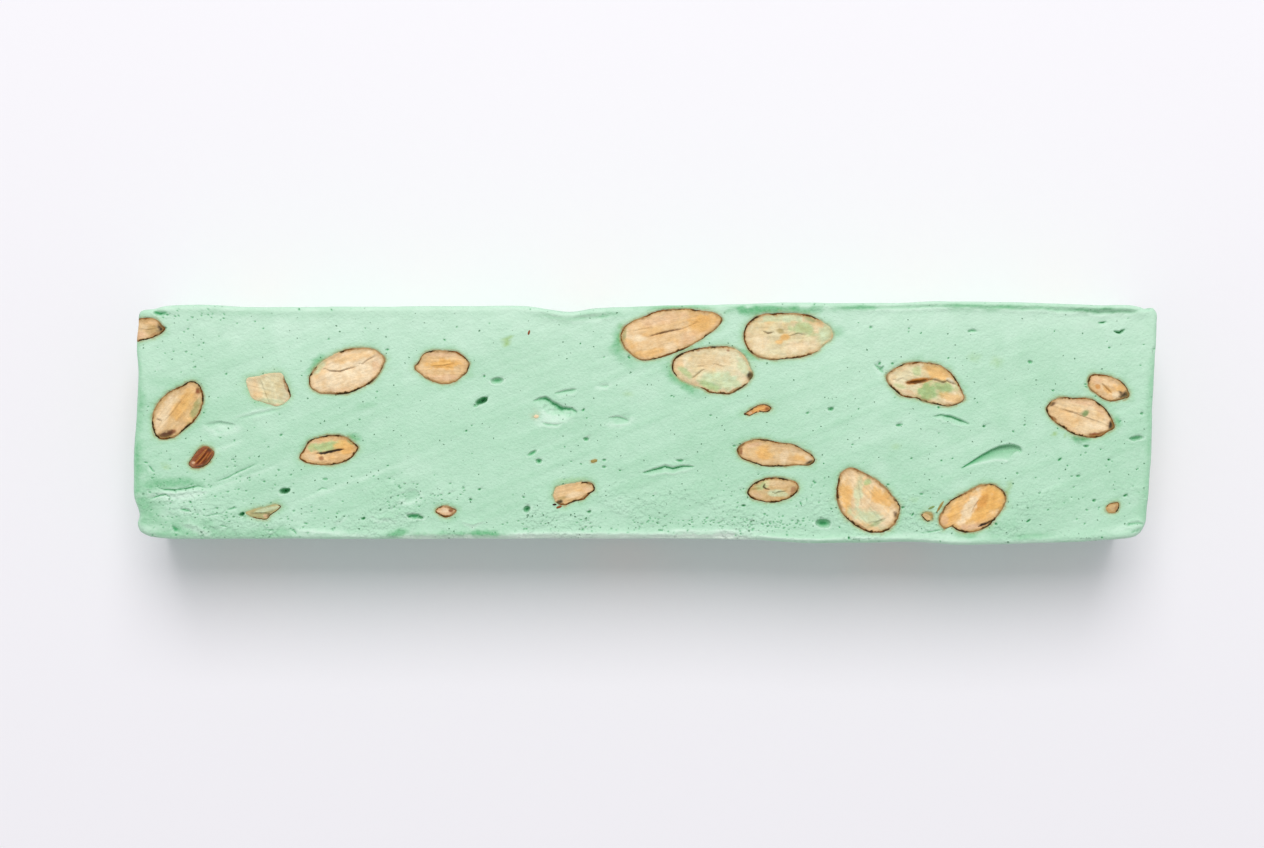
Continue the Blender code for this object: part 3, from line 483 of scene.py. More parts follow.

# Open bubbles and tears of the top face; the seventh column is how dark the painted shade inside is.
TOP_PITS = tuple(Pit(*row) for row in (
    (-32.6, 4.6, 2.4, 1.3, 2.2, 25, 1), (-33.8, 3.6, 1.2, 0.7, 0.5, 25, 0.4),
    (-29.6, 8.7, 2.5, 1.3, 0.9, 8, 0.45), (-72.1, -13.5, 2.2, 1.15, 2, 18, 1),
    (-80.6, -18.1, 1.3, 0.85, 1.3, 20, 1), (-96, 19.1, 0.8, 0.6, 0.8, 0, 1),
    (-23.6, -17.1, 1.7, 1.2, 1.1, 35, 0.75), (-46, -18.5, 3.2, 1.1, 0.7, -8, 0.6),
    (-46.6, -14.3, 3.6, 2.2, 0.2, 20, 0.1, 0), (-22.6, -5.9, 2.2, 0.8, 0.5, 30, 0.5),
    (-21.2, -7.5, 1.1, 1, 0.7, 0, 0.7), (-11.8, -3.1, 1.2, 0.8, 0.6, 0, 0.6),
    (-8.2, -7.3, 0.9, 0.7, 0.5, 0, 0.5), (-8.2, -8.7, 0.9, 0.6, 0.5, 0, 0.5),
    (35.6, -19.9, 2.6, 1.75, 1.3, -4, 0.6), (19.7, -16.4, 0.9, 0.6, 0.7, 0, 0.8),
    (37.2, 2.9, 1.3, 0.8, 0.7, 10, 0.7), (50.8, -0.3, 1.4, 0.6, 0.5, 5, 0.6),
    (77, 12.3, 1, 0.7, 0.5, 0, 0.5), (98.2, -2.9, 2.8, 1, 0.9, 8, 0.45),
    (88.2, -4.5, 1.2, 0.6, 0.5, 0, 0.6), (86.6, -10.5, 1, 0.45, 0.5, 0, 0.6),
    (89.8, -15.4, 0.7, 0.6, 0.6, 0, 0.7), (96.1, -14.4, 1.1, 0.5, 0.6, 25, 0.8),
    (99.3, 2, 0.7, 0.6, 0.5, 0, 0.6), (-94, -21, 1.7, 0.9, 0.35, -45, 0.5),
    (-56.3, -19, 1, 0.6, 0.6, 10, 1), (7, -7.4, 1.6, 0.6, 0.5, 5, 0.6),
    (-67.8, -20, 0.9, 0.4, 0.3, -10, 0.6), (-64, -11.1, 1.2, 0.55, 0.3, 0, 0.45),
    (-4.8, 0.9, 4.2, 2, 0.14, 15, 0.05, 0), (-8.2, 7.7, 2.4, 1, 0.14, 10, 0.05, 0),
    (70.2, -20.1, 0.6, 0.5, 0.6, 0, 0.8), (48.6, -12.2, 0.7, 0.4, 0.5, 0, 0.7),
    (51.5, -16.8, 0.9, 0.4, 0.5, 15, 0.8), (49.5, 12, 0.5, 0.5, 0.5, 0, 0.7),
    (47.4, 11.1, 1, 0.45, 0.4, 45, 0.5), (-11.2, -17.6, 0.8, 0.5, 0.5, 20, 0.7),
    (-34.9, -15.2, 0.6, 0.5, 0.6, 0, 0.8), (-44.9, -18.8, 1, 0.7, 0.6, -20, 0.7),
    (32.5, 2.1, 0.8, 0.4, 0.4, 20, 0.7), (55.3, -14.1, 0.9, 0.4, 0.4, 0, 0.5),
    (81.6, 6.6, 0.6, 0.5, 0.4, 0, 0.6), (13.1, 1.6, 0.5, 0.4, 0.4, 0, 0.6),
    (-84.5, -0.6, 6, 2.4, 0.16, -4, 0.05, 0), (-76.1, -11.6, 0.7, 0.4, 0.35, 0, 0.5),
))

# Tears, slits, the gouge, ridges and knife lines of the top face; each gets painted shade by its
# darkness and a painted highlight beside its right side.
TOP_CREASES = (
    K(((-22.4, 4.5), (-21, 5), (-19.8, 5.1), (-18.9, 4.4), (-18, 3.8), (-16.4, 3), (-14.6, 3),
      (-13.5, 2.2)), 0.75, 1, 0.7, 0.03, 2.6, 0.6),
    K(((-20.9, 0.2), (-19.4, -0.2), (-17.6, -0.3), (-16.4, 0.1)), 0.5, 0.25, 0.25, 0.05),
    K(((-18.2, 6), (-16, 6.5), (-13.6, 6.9)), 0.5, 0.5, 0.45, 0.05, 0.9, 0.6),
    K(((-8.6, 7.5), (-7.2, 7.6)), 0.4, 0.3, 0.2, 0.05, 0.7),
    K(((-7.4, 1.2), (-5.4, 1.3), (-4, 0.9), (-3.2, 0.5)), 0.4, 0.35, 0.35, 0.04, 1.3, 0.6),
    K(((-0.6, -9.9), (2, -9.2), (4, -8.6), (5.6, -9), (7.6, -8.5), (9.9, -8.6)), 0.5, 0.8, 0.95, 0.12, 1),
    K(((63.2, -8.95), (65.1, -7.7), (67.3, -6.35), (69.2, -5.35), (71, -4.65), (72.5, -4.4), (73.8, -4.4),
      (74.8, -4.75), (75.2, -5.3), (75.1, -5.9)), 0.4, 1.5, 1, 0.06, 3.1, 0.7, True, 0.68),
    K(((57.5, 1.4), (59.2, 1.75), (61.2, 1.4), (63.2, 0.6), (64.9, -0.1)), 0.34, 0.65, 0.8, 0.12, 1.1, 0.6),
    K(((87.6, 7.9), (88.5, 7.8)), 0.25, 0.2, 0.9), K(((87.8, 7.4), (88.6, 7.25)), 0.22, 0.2, 0.8),
    K(((45.8, 11.9), (46.7, 11.2), (47.7, 10.1)), 0.5, 0.5, 0.4),
    K(((64.4, 18.4), (65.4, 18.6), (66.4, 18.5)), 0.45, 0.5, 0.6),
    K(((93.6, 18.5), (94.9, 18.1), (96, 18.9)), 0.5, 0.9, 1, 0.05),
    K(((90.5, 20.1), (91.4, 20.15), (92.3, 20.4)), 0.35, 0.5, 0.95),
    K(((-99.4, -13.9), (-96.6, -13.7), (-94.2, -14), (-91.6, -13.7), (-89.2, -13.3), (-86.8, -13.7)),
      0.9, -0.3, 0),
    K(((-97.6, -12), (-97.2, -12.9), (-96.1, -13.2), (-94, -13.3), (-91.7, -13), (-89.3, -12.5),
      (-87.5, -12.9)), 0.3, 0.4, 0.75),
    K(((-99, -15.1), (-97, -14.4), (-95.8, -14.2), (-94.6, -15)), 0.28, 0.35, 0.7),
    K(((-88, -18.6), (-85.4, -18), (-84, -18.4)), 0.3, 0.2, 0.4),
    K(((-85, -20.4), (-83.7, -20.6)), 0.3, 0.3, 0.6), K(((-76, -21.2), (-74, -21.4)), 0.35, 0.25, 0.4),
    K(((-71.2, -21), (-70.3, -21.3), (-69.6, -22.2)), 0.4, 0.4, 0.6),
    K(((-70, -21.3), (-66, -21.6), (-61.5, -21.9)), 0.8, -0.25, 0),
    K(((-65.6, -13.5), (-64.6, -12.9), (-63.4, -13.1)), 0.3, 0.25, 0.45),
    K(((-100.2, -7.7), (-99.3, -7.9)), 0.3, 0.3, 0.8),
    K(((-99.2, -8.3), (-98.4, -9.5), (-97.8, -9.6)), 0.3, 0.3, 0.7),
    K(((-62.3, -19.8), (-61.2, -19), (-59.8, -17.9)), 0.8, -0.25, 0),
    K(((-55, -18.2), (-53.2, -18.9), (-51.4, -18.6), (-49.4, -19.6)), 0.7, -0.22, 0),
    K(((-36.4, -19.6), (-34.4, -20.2), (-32.2, -19.4)), 0.6, -0.2, 0),
    K(((-96, -16.4), (-84, -11.6), (-73, -8)), 0.7, 0.07, 0), K(((-92, -6.8), (-80, -3)), 0.6, 0.06, 0),
    K(((-70, -15.6), (-58, -10.6), (-47, -7.4)), 0.7, 0.06, 0),
    K(((-86.2, -11.8), (-83.4, -10.8), (-81.6, -9.8), (-80, -9.1), (-77.5, -8)), 0.28, 0.25, 0.5),
    K(((-83.6, -17.2), (-81.6, -16.8)), 0.4, 0.4, 0.6), K(((-93, -17.1), (-90.8, -17.5)), 0.4, 0.4, 0.6),
    K(((-92.4, -20.2), (-91, -20.1), (-89.6, -20.5), (-88.6, -21.3), (-87.2, -22)), 0.9, -0.4, 0),
    K(((-71.5, 3.2), (-76, 2.2), (-82.5, 0.7)), 0.6, 0.16, 0.08, 0.05),
    K(((-87.6, -0.2), (-85, 0.2), (-81.8, -0.3)), 0.5, 0.3, 0.15, 0.05, 1.2),
    K(((54.8, -21.9), (57.4, -21.6), (59.8, -21.1)), 0.3, 0.25, 0.4),
    K(((95.9, -20.5), (97, -20.1), (98.4, -19.9), (99.6, -20)), 0.55, 0.35, 0.4, 0.15),
    K(((97, -21.8), (98.2, -21.4), (99.2, -20.9)), 0.5, 0.25, 0.3),
    K(((-21.5, 22.2), (-19.2, 21.5), (-14, 21.1), (-8.8, 21.3), (-5, 22)), 0.8, 0.1, 0, 0.05),
    K(((39, 23), (49, 23.2), (59.6, 23.5), (66.6, 23.4)), 0.6, 0.22, 0.15, 0.08),
    K(((63, 23.5), (67, 23.15), (71, 23.4), (75.5, 22.95), (79.5, 23.2), (83.5, 22.6), (87.5, 22.8),
      (91, 22.2), (94.5, 22.45), (97.5, 22.2), (99.3, 22.9)), 0.75, 0.2, 0.1, 0.1, 0, 0.8),
    K(((-98.2, 22.3), (-96.9, 22), (-95.4, 22.2)), 0.9, 0.5, 0.7),
)

# Stains of the top face by tone, in the order in which they are laid over each other; some rows are
# painted highlights and painted shade, as marked.
TOP_STAINS = tuple(Patch(tone, *row) for tone, rows in (
    (T.DARK_MINT, ((-5.1, 16.8, 0.6, 1.7, -10, 0.6), (24, 22.9, 6.5, 0.6, 2, 0.5),
     (5, 23.3, 5, 0.4, 0, 0.4))),
    # The DEEP_MINT row at x -95.6, y -11.9 is painted shade above the raised ridge near the front left
    # corner.
    (T.DEEP_MINT, ((-49.5, -22, 2.6, 0.9, 20, 0.9), (-32, -22.1, 4, 0.8, -3, 1),
     (42.5, 23.1, 3.4, 0.6, 0, 0.8), (-95.6, -11.9, 6.3, 1.2, 0, 0.75))),
    # The first two PALE_MINT rows are painted highlights on a raised ledge and on the ridge near the front
    # left corner.
    (T.PALE_MINT, ((-90, -20.8, 2.8, 0.6, -18, 0.9), (-94.6, -14.1, 6.2, 1.1, 3, 0.8),
     (-97.8, -21, 3, 0.8, 0, 0.6))),
    # Painted shade in the dent beside that ledge.
    (T.DEEP_MINT, ((-93.6, -20.9, 1.5, 0.8, -25, 0.7),)),
    # Painted highlights on raised ledges along the front edge.
    (T.PALE_MINT, ((-89.5, -20.9, 2.6, 0.5, -35, 1), (-65.5, -21.6, 4.6, 0.5, -3, 1))),
    (T.DEEP_MINT, ((-98.5, -15, 2.6, 8, 0, 0.3), (-93, -20.3, 8, 2, 0, 0.35), (-95, 8.3, 5, 1.2, -10, 0.2),
     (-5.4, 16, 1.2, 3.4, -6, 0.8), (-3.6, 12.4, 2.6, 1.2, -30, 0.35), (8, 7.7, 3.8, 0.9, -30, 0.9),
     (4.6, 10.8, 0.8, 2.2, 10, 0.6), (21, 13.9, 2.4, 1, -20, 0.7), (24, 22.7, 8, 1, 2, 1),
     (6, 23.2, 7, 0.7, 0, 0.9), (32, 22.7, 5, 0.8, 0, 0.6), (38.8, 18.2, 1.2, 1.4, 0, 0.4),
     (21.6, 16.6, 0.8, 2.2, 0, 0.3), (-58.3, -2.6, 1.8, 0.9, -30, 1), (-65.4, 12, 2.6, 0.9, 42, 0.9),
     (71.5, -20.8, 3, 1, 10, 0.3), (64.5, -22.3, 2.6, 0.7, 0, 0.5), (87.3, -3.1, 1.9, 0.7, 0, 1))),
    (T.DARK_MINT, ((87.2, -2.9, 1.5, 0.4, 0, 0.7),)),
    (T.DEEP_MINT, ((94.4, 0.4, 0.7, 1.2, 20, 0.7), (80, 13, 18, 6, 10, 0.06),
     (-55.5, 3.6, 2, 0.8, 10, 0.35), (-41, -22.3, 6, 0.7, 0, 0.6), (-82.5, 22.2, 8, 0.5, -2, 0.12),
     (-96.8, 22.2, 1.6, 0.5, 0, 0.7))),
    (T.LIME, ((-95.8, -8.5, 0.9, 0.6, 0, 0.5), (-27.8, 16.3, 0.6, 1.1, -20, 0.8),
     (-26.8, 17.3, 0.35, 0.35, 0, 0.6), (66, 13.2, 1.2, 0.8, 10, 0.25), (70.4, 12.2, 0.8, 1.3, 10, 0.3),
     (81.9, -1.8, 0.5, 0.7, 0, 0.8), (84.4, -2.3, 0.6, 0.5, 0, 0.6), (53.6, -15, 0.8, 0.6, 0, 0.3),
     (50.2, -4.6, 0.9, 0.7, 0, 0.3), (-3.2, 5.8, 1, 0.6, 0, 0.35), (72.6, -13, 0.5, 2, -25, 0.5),
     (-14.5, -11.3, 3.2, 0.5, 6, 0.35))),
    (T.SAND, ((-21.8, 1.5, 0.9, 0.7, 20, 0.8), (-10.2, -7.5, 0.8, 0.5, 0, 0.7),
     (59, -16.8, 0.3, 1.3, -32, 0.6), (57.4, -16.7, 0.7, 0.3, 22, 0.5), (57.2, -19, 0.7, 0.5, -30, 0.5))),
    # The row at x -84 is a painted highlight on a raised ledge.
    (T.PALE_MINT, ((-18.6, 1, 3.4, 1.5, 0, 0.7), (-84, -0.7, 2.8, 0.8, 0, 0.8),
     (-33.6, 5.8, 1.2, 0.6, 25, 0.3))),
) for row in rows)

# Rows of small pits: from and to along x, middle and spread in y, and how many.
PIT_ROWS = (
    (0, 34, -19.6, 0.7, 90), (-52, -36, -14.5, 2, 50), (-99, -60, -19, 2.2, 80), (-30, 30, -20.6, 1, 110),
    (78, 99, -12, 6, 24), (-99, -84, 21.5, 0.6, 22), (14, 36, -14, 2.5, 50), (-99, -70, -12, 3.5, 60),
    (-98, -88, 14, 4, 20),
)

# Bands along the sides of the top face, by side: painted light and painted shade along the back and front
# edges, darker bands along the ends, and a pale grey band on the front wall.
HEMS = tuple(Hem(face, *row) for face, rows in (
    # Back: the pale rows are painted light, brightest on the lip along the edge, and the deeper and dark
    # green rows are painted shade on the inner slope behind the lip.
    (Face.BACK, ((-100, 100, 3.4, 2.2, T.PALE_MINT, 0.3), (-98, 102, 0.25, 0.75, T.PALE_MINT, 0.75),
     (36, 78, 0.9, 0.4, T.DEEP_MINT, 0.4), (36, 46, 1.15, 0.45, T.DEEP_MINT, 0.5),
     (60, 99, 1.15, 0.55, T.DEEP_MINT, 1), (84, 98.5, 1.3, 0.5, T.DARK_MINT, 0.8),
     (-98, -60, 1.3, 0.5, T.DEEP_MINT, 0.1), (-22, -4, 1.5, 0.6, T.DEEP_MINT, 0.7))),
    (Face.LEFT, ((-9.5, 8, 0.6, 0.9, T.DEEP_MINT, 0.6), (-16, -3, 0.7, 1.2, T.DEEP_MINT, 0.8),
     (4, 20, 0.3, 0.5, T.DEEP_MINT, 0.5), (-20.5, -13, 1.2, 2.2, T.DEEP_MINT, 0.6))),
    (Face.RIGHT, ((-1, 15, 0.5, 0.9, T.DEEP_MINT, 0.6), (-20, 2, 0.4, 0.6, T.DEEP_MINT, 0.5),
     (-20, -13, 1, 1.3, T.DEEP_MINT, 0.5), (14, 22, 0.3, 0.4, T.DEEP_MINT, 0.25))),
    # Front: the pale rows are painted highlights along the raised crest, the deeper green rows painted
    # shade in its dents, and the pale grey rows a pale grey band on the wall.
    (Face.FRONT, ((-28, 6, 1.15, 0.3, T.PALE_MINT, 1, 0.16), (4, 24, 1.7, 0.3, T.PALE_MINT, 1, 0.16),
     (-46, -38, 1, 0.35, T.PALE_MINT, 0.8, 0.12), (-63, -54, 0.55, 0.45, T.PALE_MINT, 0.7, 0.12),
     (21, 38, 0.9, 0.32, T.PALE_MINT, 1, 0.28), (36, 52, 1.05, 0.32, T.PALE_MINT, 0.9, 0.2),
     (50, 66, 0.7, 0.45, T.PALE_MINT, 0.8, 0.16), (33, 55, 0.3, 0.45, T.DEEP_MINT, 0.7),
     (48, 64, 1.5, 0.4, T.PALE_MINT, 0.5), (-98, -86, 2.6, 0.45, T.PALE_MINT, 0.4),
     (-99, -70, 1, 1.2, T.DEEP_MINT, 0.5, -0.35), (68, 82, 1.6, 0.6, T.DEEP_MINT, 0.5, -0.15),
     (70, 82, 0.35, 0.35, T.PALE_MINT, 0.7), (90, 99, 1.9, 0.6, T.PALE_MINT, 0.4, 0.12),
     (-50, 22, 0.1, 0.75, T.PALE_GREY, 1, -0.38), (6, 22, 0.8, 0.5, T.PALE_GREY, 0.8, -0.2),
     (40, 98, 0.1, 0.3, T.PALE_GREY, 0.3))),
) for row in rows)


# ---- numerics


def linear(rgb: tuple[float, float, float]) -> Array:
    """An sRGB colour of 0 to 255 as linear light."""
    share = np.asarray(rgb, dtype=float) / 255.0
    return np.where(share <= 0.04045, share / 12.92, ((share + 0.055) / 1.055) ** 2.4)


def ease(low: float, high: float, value: Array) -> Array:
    """Smoothstep: 0 below low, 1 above high, 3t^2 - 2t^3 between; falls where high is below low."""
    t = np.clip((value - low) / (high - low), 0.0, 1.0)
    return t * t * (3.0 - 2.0 * t)


def grain(points: Array, size: float | tuple[float, ...], seed: int) -> Array:
    """Smooth value noise in -1..1: hashed corner values of a lattice, blended by a quintic.

    Args:
        points: (..., 2) or (..., 3) places in mm.
        size: cell size in mm, one for all axes or one each.
        seed: picks the pattern.

    Returns:
        One value for each point.
    """
    cell = np.asarray(points, dtype=float) / np.asarray(size, dtype=float)
    base = np.floor(cell)
    part = cell - base
    fade = part**3 * (part * (part * 6.0 - 15.0) + 10.0)
    base = base.astype(np.int64)
    axes = cell.shape[-1]
    primes = (73856093, 19349663, 83492791)
    total = np.zeros(cell.shape[:-1])
    for corner in range(2**axes):
        key = np.full(cell.shape[:-1], seed * 2654435761 % 4294967296, dtype=np.int64)
        weight = np.ones(cell.shape[:-1])
        for axis in range(axes):
            bit = (corner >> axis) & 1
            key ^= (base[..., axis] + bit) * primes[axis]
            weight *= fade[..., axis] if bit else 1.0 - fade[..., axis]
        key = (key ^ (key >> 15)) * 2246822519 & 0xFFFFFFFF
        key = (key ^ (key >> 13)) * 3266489917 & 0xFFFFFFFF
        total += weight * (((key >> 8) & 0xFFFF) / 32767.5 - 1.0)
    return total


def ragged(places: Array, size: float, seed: int) -> Array:
    """Noise of three octaves, each laid at its own angle so that no grid shows.

    Args:
        places: (..., 2) places in mm.
        size: cell size of the coarsest.
        seed: picks the pattern.

    Returns:
        About -1 to 1 at each place.
    """
    total = grain(places, size, seed)
    for octave, share in ((1, 0.55), (2, 0.35)):
        laid = pair(*turned(places[..., 0], places[..., 1], 33.0 * octave))
        total = total + share * grain(laid, size * 0.47**octave, seed + 100 * octave)
    return total / 1.4


def pair(a: Array, b: Array) -> Array:
    """Two coordinates as one array of places."""
    return np.stack([a, b], axis=-1)


def turned(du: Array, dv: Array, degrees: float) -> tuple[Array, Array]:
    """Offsets in axes turned by an angle: a along it, b across it."""
    c, s = math.cos(math.radians(degrees)), math.sin(math.radians(degrees))
    return du * c + dv * s, dv * c - du * s


def closed_spline(points: Array, per_span: int) -> Array:
    """Smooth curve through a closed list of points, per_span samples to each span.

    Cubic Hermite spans of length h whose slope at each point is the mean of the slopes of the spans
    beside it, each weighted by the other's length, so that uneven spacing gives no loops.

    Args:
        points: (n, d) control points, of which the first two columns are lengths.
        per_span: samples from each point up to the next.

    Returns:
        (n * per_span, d) samples, the first at the first point.
    """
    t = np.arange(per_span)[None, :, None] / per_span
    ahead = np.roll(points, -1, axis=0)
    h = np.hypot(*(ahead - points)[:, :2].T)[:, None]
    slope = (ahead - points) / h
    behind, h_behind = np.roll(slope, 1, axis=0), np.roll(h, 1, axis=0)
    tangent = (behind * h + slope * h_behind) / (h + h_behind)
    a, b = points[:, None, :], ahead[:, None, :]
    m, n = (tangent * h)[:, None, :], (np.roll(tangent, -1, axis=0) * h)[:, None, :]
    curve = (2 * t**3 - 3 * t**2 + 1) * a + (t**3 - 2 * t**2 + t) * m
    curve = curve + (3 * t**2 - 2 * t**3) * b + (t**3 - t**2) * n
    return curve.reshape(-1, points.shape[1])


def even_steps(curve: Array, count: int, closed: bool = False) -> Array:
    """The curve resampled at equal steps of length.

    Args:
        curve: (n, d) samples, of which the first two columns are lengths.
        count: samples wanted.
        closed: whether the curve runs back to its first point, which is then not repeated.

    Returns:
        (count, d) samples.
    """
    if closed:
        curve = np.vstack([curve, curve[:1]])
    run = np.concatenate([[0.0], np.cumsum(np.hypot(*np.diff(curve[:, :2], axis=0).T))])
    at = np.linspace(0.0, run[-1], count, endpoint=not closed)
    return np.stack([np.interp(at, run, column) for column in curve.T], axis=1)


def path_distance(u: Array, v: Array, points: Path) -> tuple[Array, Array, Array]:
    """How places lie to a path: the nearest of their distances to its straight runs.

    Args:
        u, v: the places.
        points: the path.

    Returns:
        Distance, share of the path's length at the nearest point, and side (+1 on its left).
    """
    nearest = np.full(u.shape, 1e9)
    share = np.zeros(u.shape)
    side = np.ones(u.shape)
    path = np.asarray(points, dtype=float)
    lengths = np.hypot(*np.diff(path, axis=0).T)
    start = 0.0
    for (ax, ay), (bx, by), length in zip(path[:-1], path[1:], lengths):
        tx, ty = (bx - ax) / length, (by - ay) / length
        along = np.clip((u - ax) * tx + (v - ay) * ty, 0.0, length)
        du, dv = u - ax - along * tx, v - ay - along * ty
        distance = np.hypot(du, dv)
        closer = distance < nearest
        nearest = np.where(closer, distance, nearest)
        share = np.where(closer, (start + along) / lengths.sum(), share)
        side = np.where(closer, np.sign(tx * dv - ty * du), side)
        start += length
    return nearest, share, side


def mesh_from(name: str, points: Array, quads: Array, triangles: Array | None = None) -> Mesh:
    """A mesh from arrays.

    Args:
        name: mesh name.
        points: (n, 3) vertices in mm.
        quads: (q, 4) vertex numbers, counter-clockwise from outside.
        triangles: (t, 3) vertex numbers, or None.

    Returns:
        The mesh, in metres and shaded smooth.
    """
    triangles = np.zeros((0, 3), dtype=int) if triangles is None else triangles
    mesh = bpy.data.meshes.new(name)
    mesh.vertices.add(len(points))
    mesh.vertices.foreach_set("co", (points * MM).astype(np.float32).ravel())
    corners = np.concatenate([quads.ravel(), triangles.ravel()]).astype(np.int32)
    mesh.loops.add(len(corners))
    mesh.loops.foreach_set("vertex_index", corners)
    sizes = np.concatenate([np.full(len(quads), 4), np.full(len(triangles), 3)])
    mesh.polygons.add(len(sizes))
    mesh.polygons.foreach_set("loop_start", np.concatenate([[0], np.cumsum(sizes)[:-1]]).astype(np.int32))
    mesh.update(calc_edges=True)
    mesh.validate()
    mesh.shade_smooth()
    return mesh


def vertex_values(mesh: Mesh, name: str) -> Array:
    """Reads one value of every vertex.

    Args:
        mesh: the mesh.
        name: "co" or "normal".

    Returns:
        (n, 3) values, places in metres.
    """
    flat = np.empty(len(mesh.vertices) * 3, dtype=np.float32)
    mesh.vertices.foreach_get(name, flat)
    return flat.reshape(-1, 3).astype(float)


def tube_quads(index: Array) -> Array:
    """Quads between the rings of a tube whose vertex numbers are (rings, around)."""
    after = np.roll(index, -1, axis=1)
    return np.stack([index[:-1], index[1:], after[1:], after[:-1]], axis=-1).reshape(-1, 4)


def sheet_quads(index: Array) -> Array:
    """Quads of an open sheet whose vertex numbers are (along, across)."""
    corners = (index[:-1, :-1], index[1:, :-1], index[1:, 1:], index[:-1, 1:])
    return np.stack(corners, axis=-1).reshape(-1, 4)


def end_fans(index: Array, first: int, last: int) -> Array:
    """Triangles that close the two ends of a tube.

    Args:
        index: (rings, around) vertex numbers.
        first, last: the vertex in the middle of each end.

    Returns:
        (2 * around, 3) vertex numbers.
    """
    after = np.roll(index, -1, axis=1)
    around = index.shape[1]
    opening = np.column_stack([np.full(around, first), index[0], after[0]])
    return np.vstack([opening, np.column_stack([index[-1], np.full(around, last), after[-1]])])


def placed(name: str, data: bpy.types.ID) -> Object:
    """Puts a new object in the scene.

    Args:
        name: its name.
        data: its mesh, light or camera.

    Returns:
        The object.
    """
    made = bpy.data.objects.new(name, data)
    bpy.context.scene.collection.objects.link(made)
    return made


def applied(piece: Object) -> Mesh:
    """Applies an object's modifiers and removes the object.

    Args:
        piece: the object.

    Returns:
        The finished mesh, shaded smooth.
    """
    graph = bpy.context.evaluated_depsgraph_get()
    result = bpy.data.meshes.new_from_object(piece.evaluated_get(graph))
    bpy.data.objects.remove(piece, do_unlink=True)
    result.shade_smooth()
    return result


def write_colour(mesh: Mesh, name: str, values: Array) -> None:
    """Stores (n, 4) values as a colour attribute of the vertices."""
    layer = mesh.attributes.new(name, "FLOAT_COLOR", "POINT")
    layer.data.foreach_set("color", np.clip(values, 0.0, 8.0).astype(np.float32).ravel())


# ---- bar's shape


@dataclass(frozen=True)
class Plane:
    """A face's own frame: which world axis and sign its u, v and w follow, and the plane's distance."""

    u: tuple[int, int]
    v: tuple[int, int]
    w: tuple[int, int]
    offset: float

    def local(self, points: Array) -> tuple[Array, Array, Array]:
        """World points as u, v and w."""
        (a, sa), (b, sb), (c, sc) = self.u, self.v, self.w
        return points[..., a] * sa, points[..., b] * sb, points[..., c] * sc - self.offset

    def world(self, u: Array, v: Array, w: Array) -> Array:
        """Carries points of the face's frame to the world.

        Args:
            u, v, w: their places in mm.

        Returns:
            (..., 3) world points.
        """
        out = np.empty(np.broadcast(u, v, w).shape + (3,))
        for (axis, sign), value in zip((self.u, self.v, self.w), (u, v, w + self.offset)):
            out[..., axis] = sign * value
        return out

    def out(self, vectors: Array) -> Array:
        """The part of each vector that points out of the face."""
        return vectors[..., self.w[0]] * self.w[1]


PLANES = {
    Face.TOP: Plane((0, 1), (1, 1), (2, 1), HEIGHT),
    Face.BASE: Plane((0, 1), (1, -1), (2, -1), 0.0),
    Face.FRONT: Plane((0, 1), (2, 1), (1, -1), HALF_WIDTH),
    Face.BACK: Plane((0, -1), (2, 1), (1, 1), HALF_WIDTH),
    Face.LEFT: Plane((1, -1), (2, 1), (0, -1), HALF_LENGTH),
    Face.RIGHT: Plane((1, 1), (2, 1), (0, 1), HALF_LENGTH),
}


# The four sides in the order in which the edge outline runs.
AROUND = (Face.FRONT, Face.RIGHT, Face.BACK, Face.LEFT)


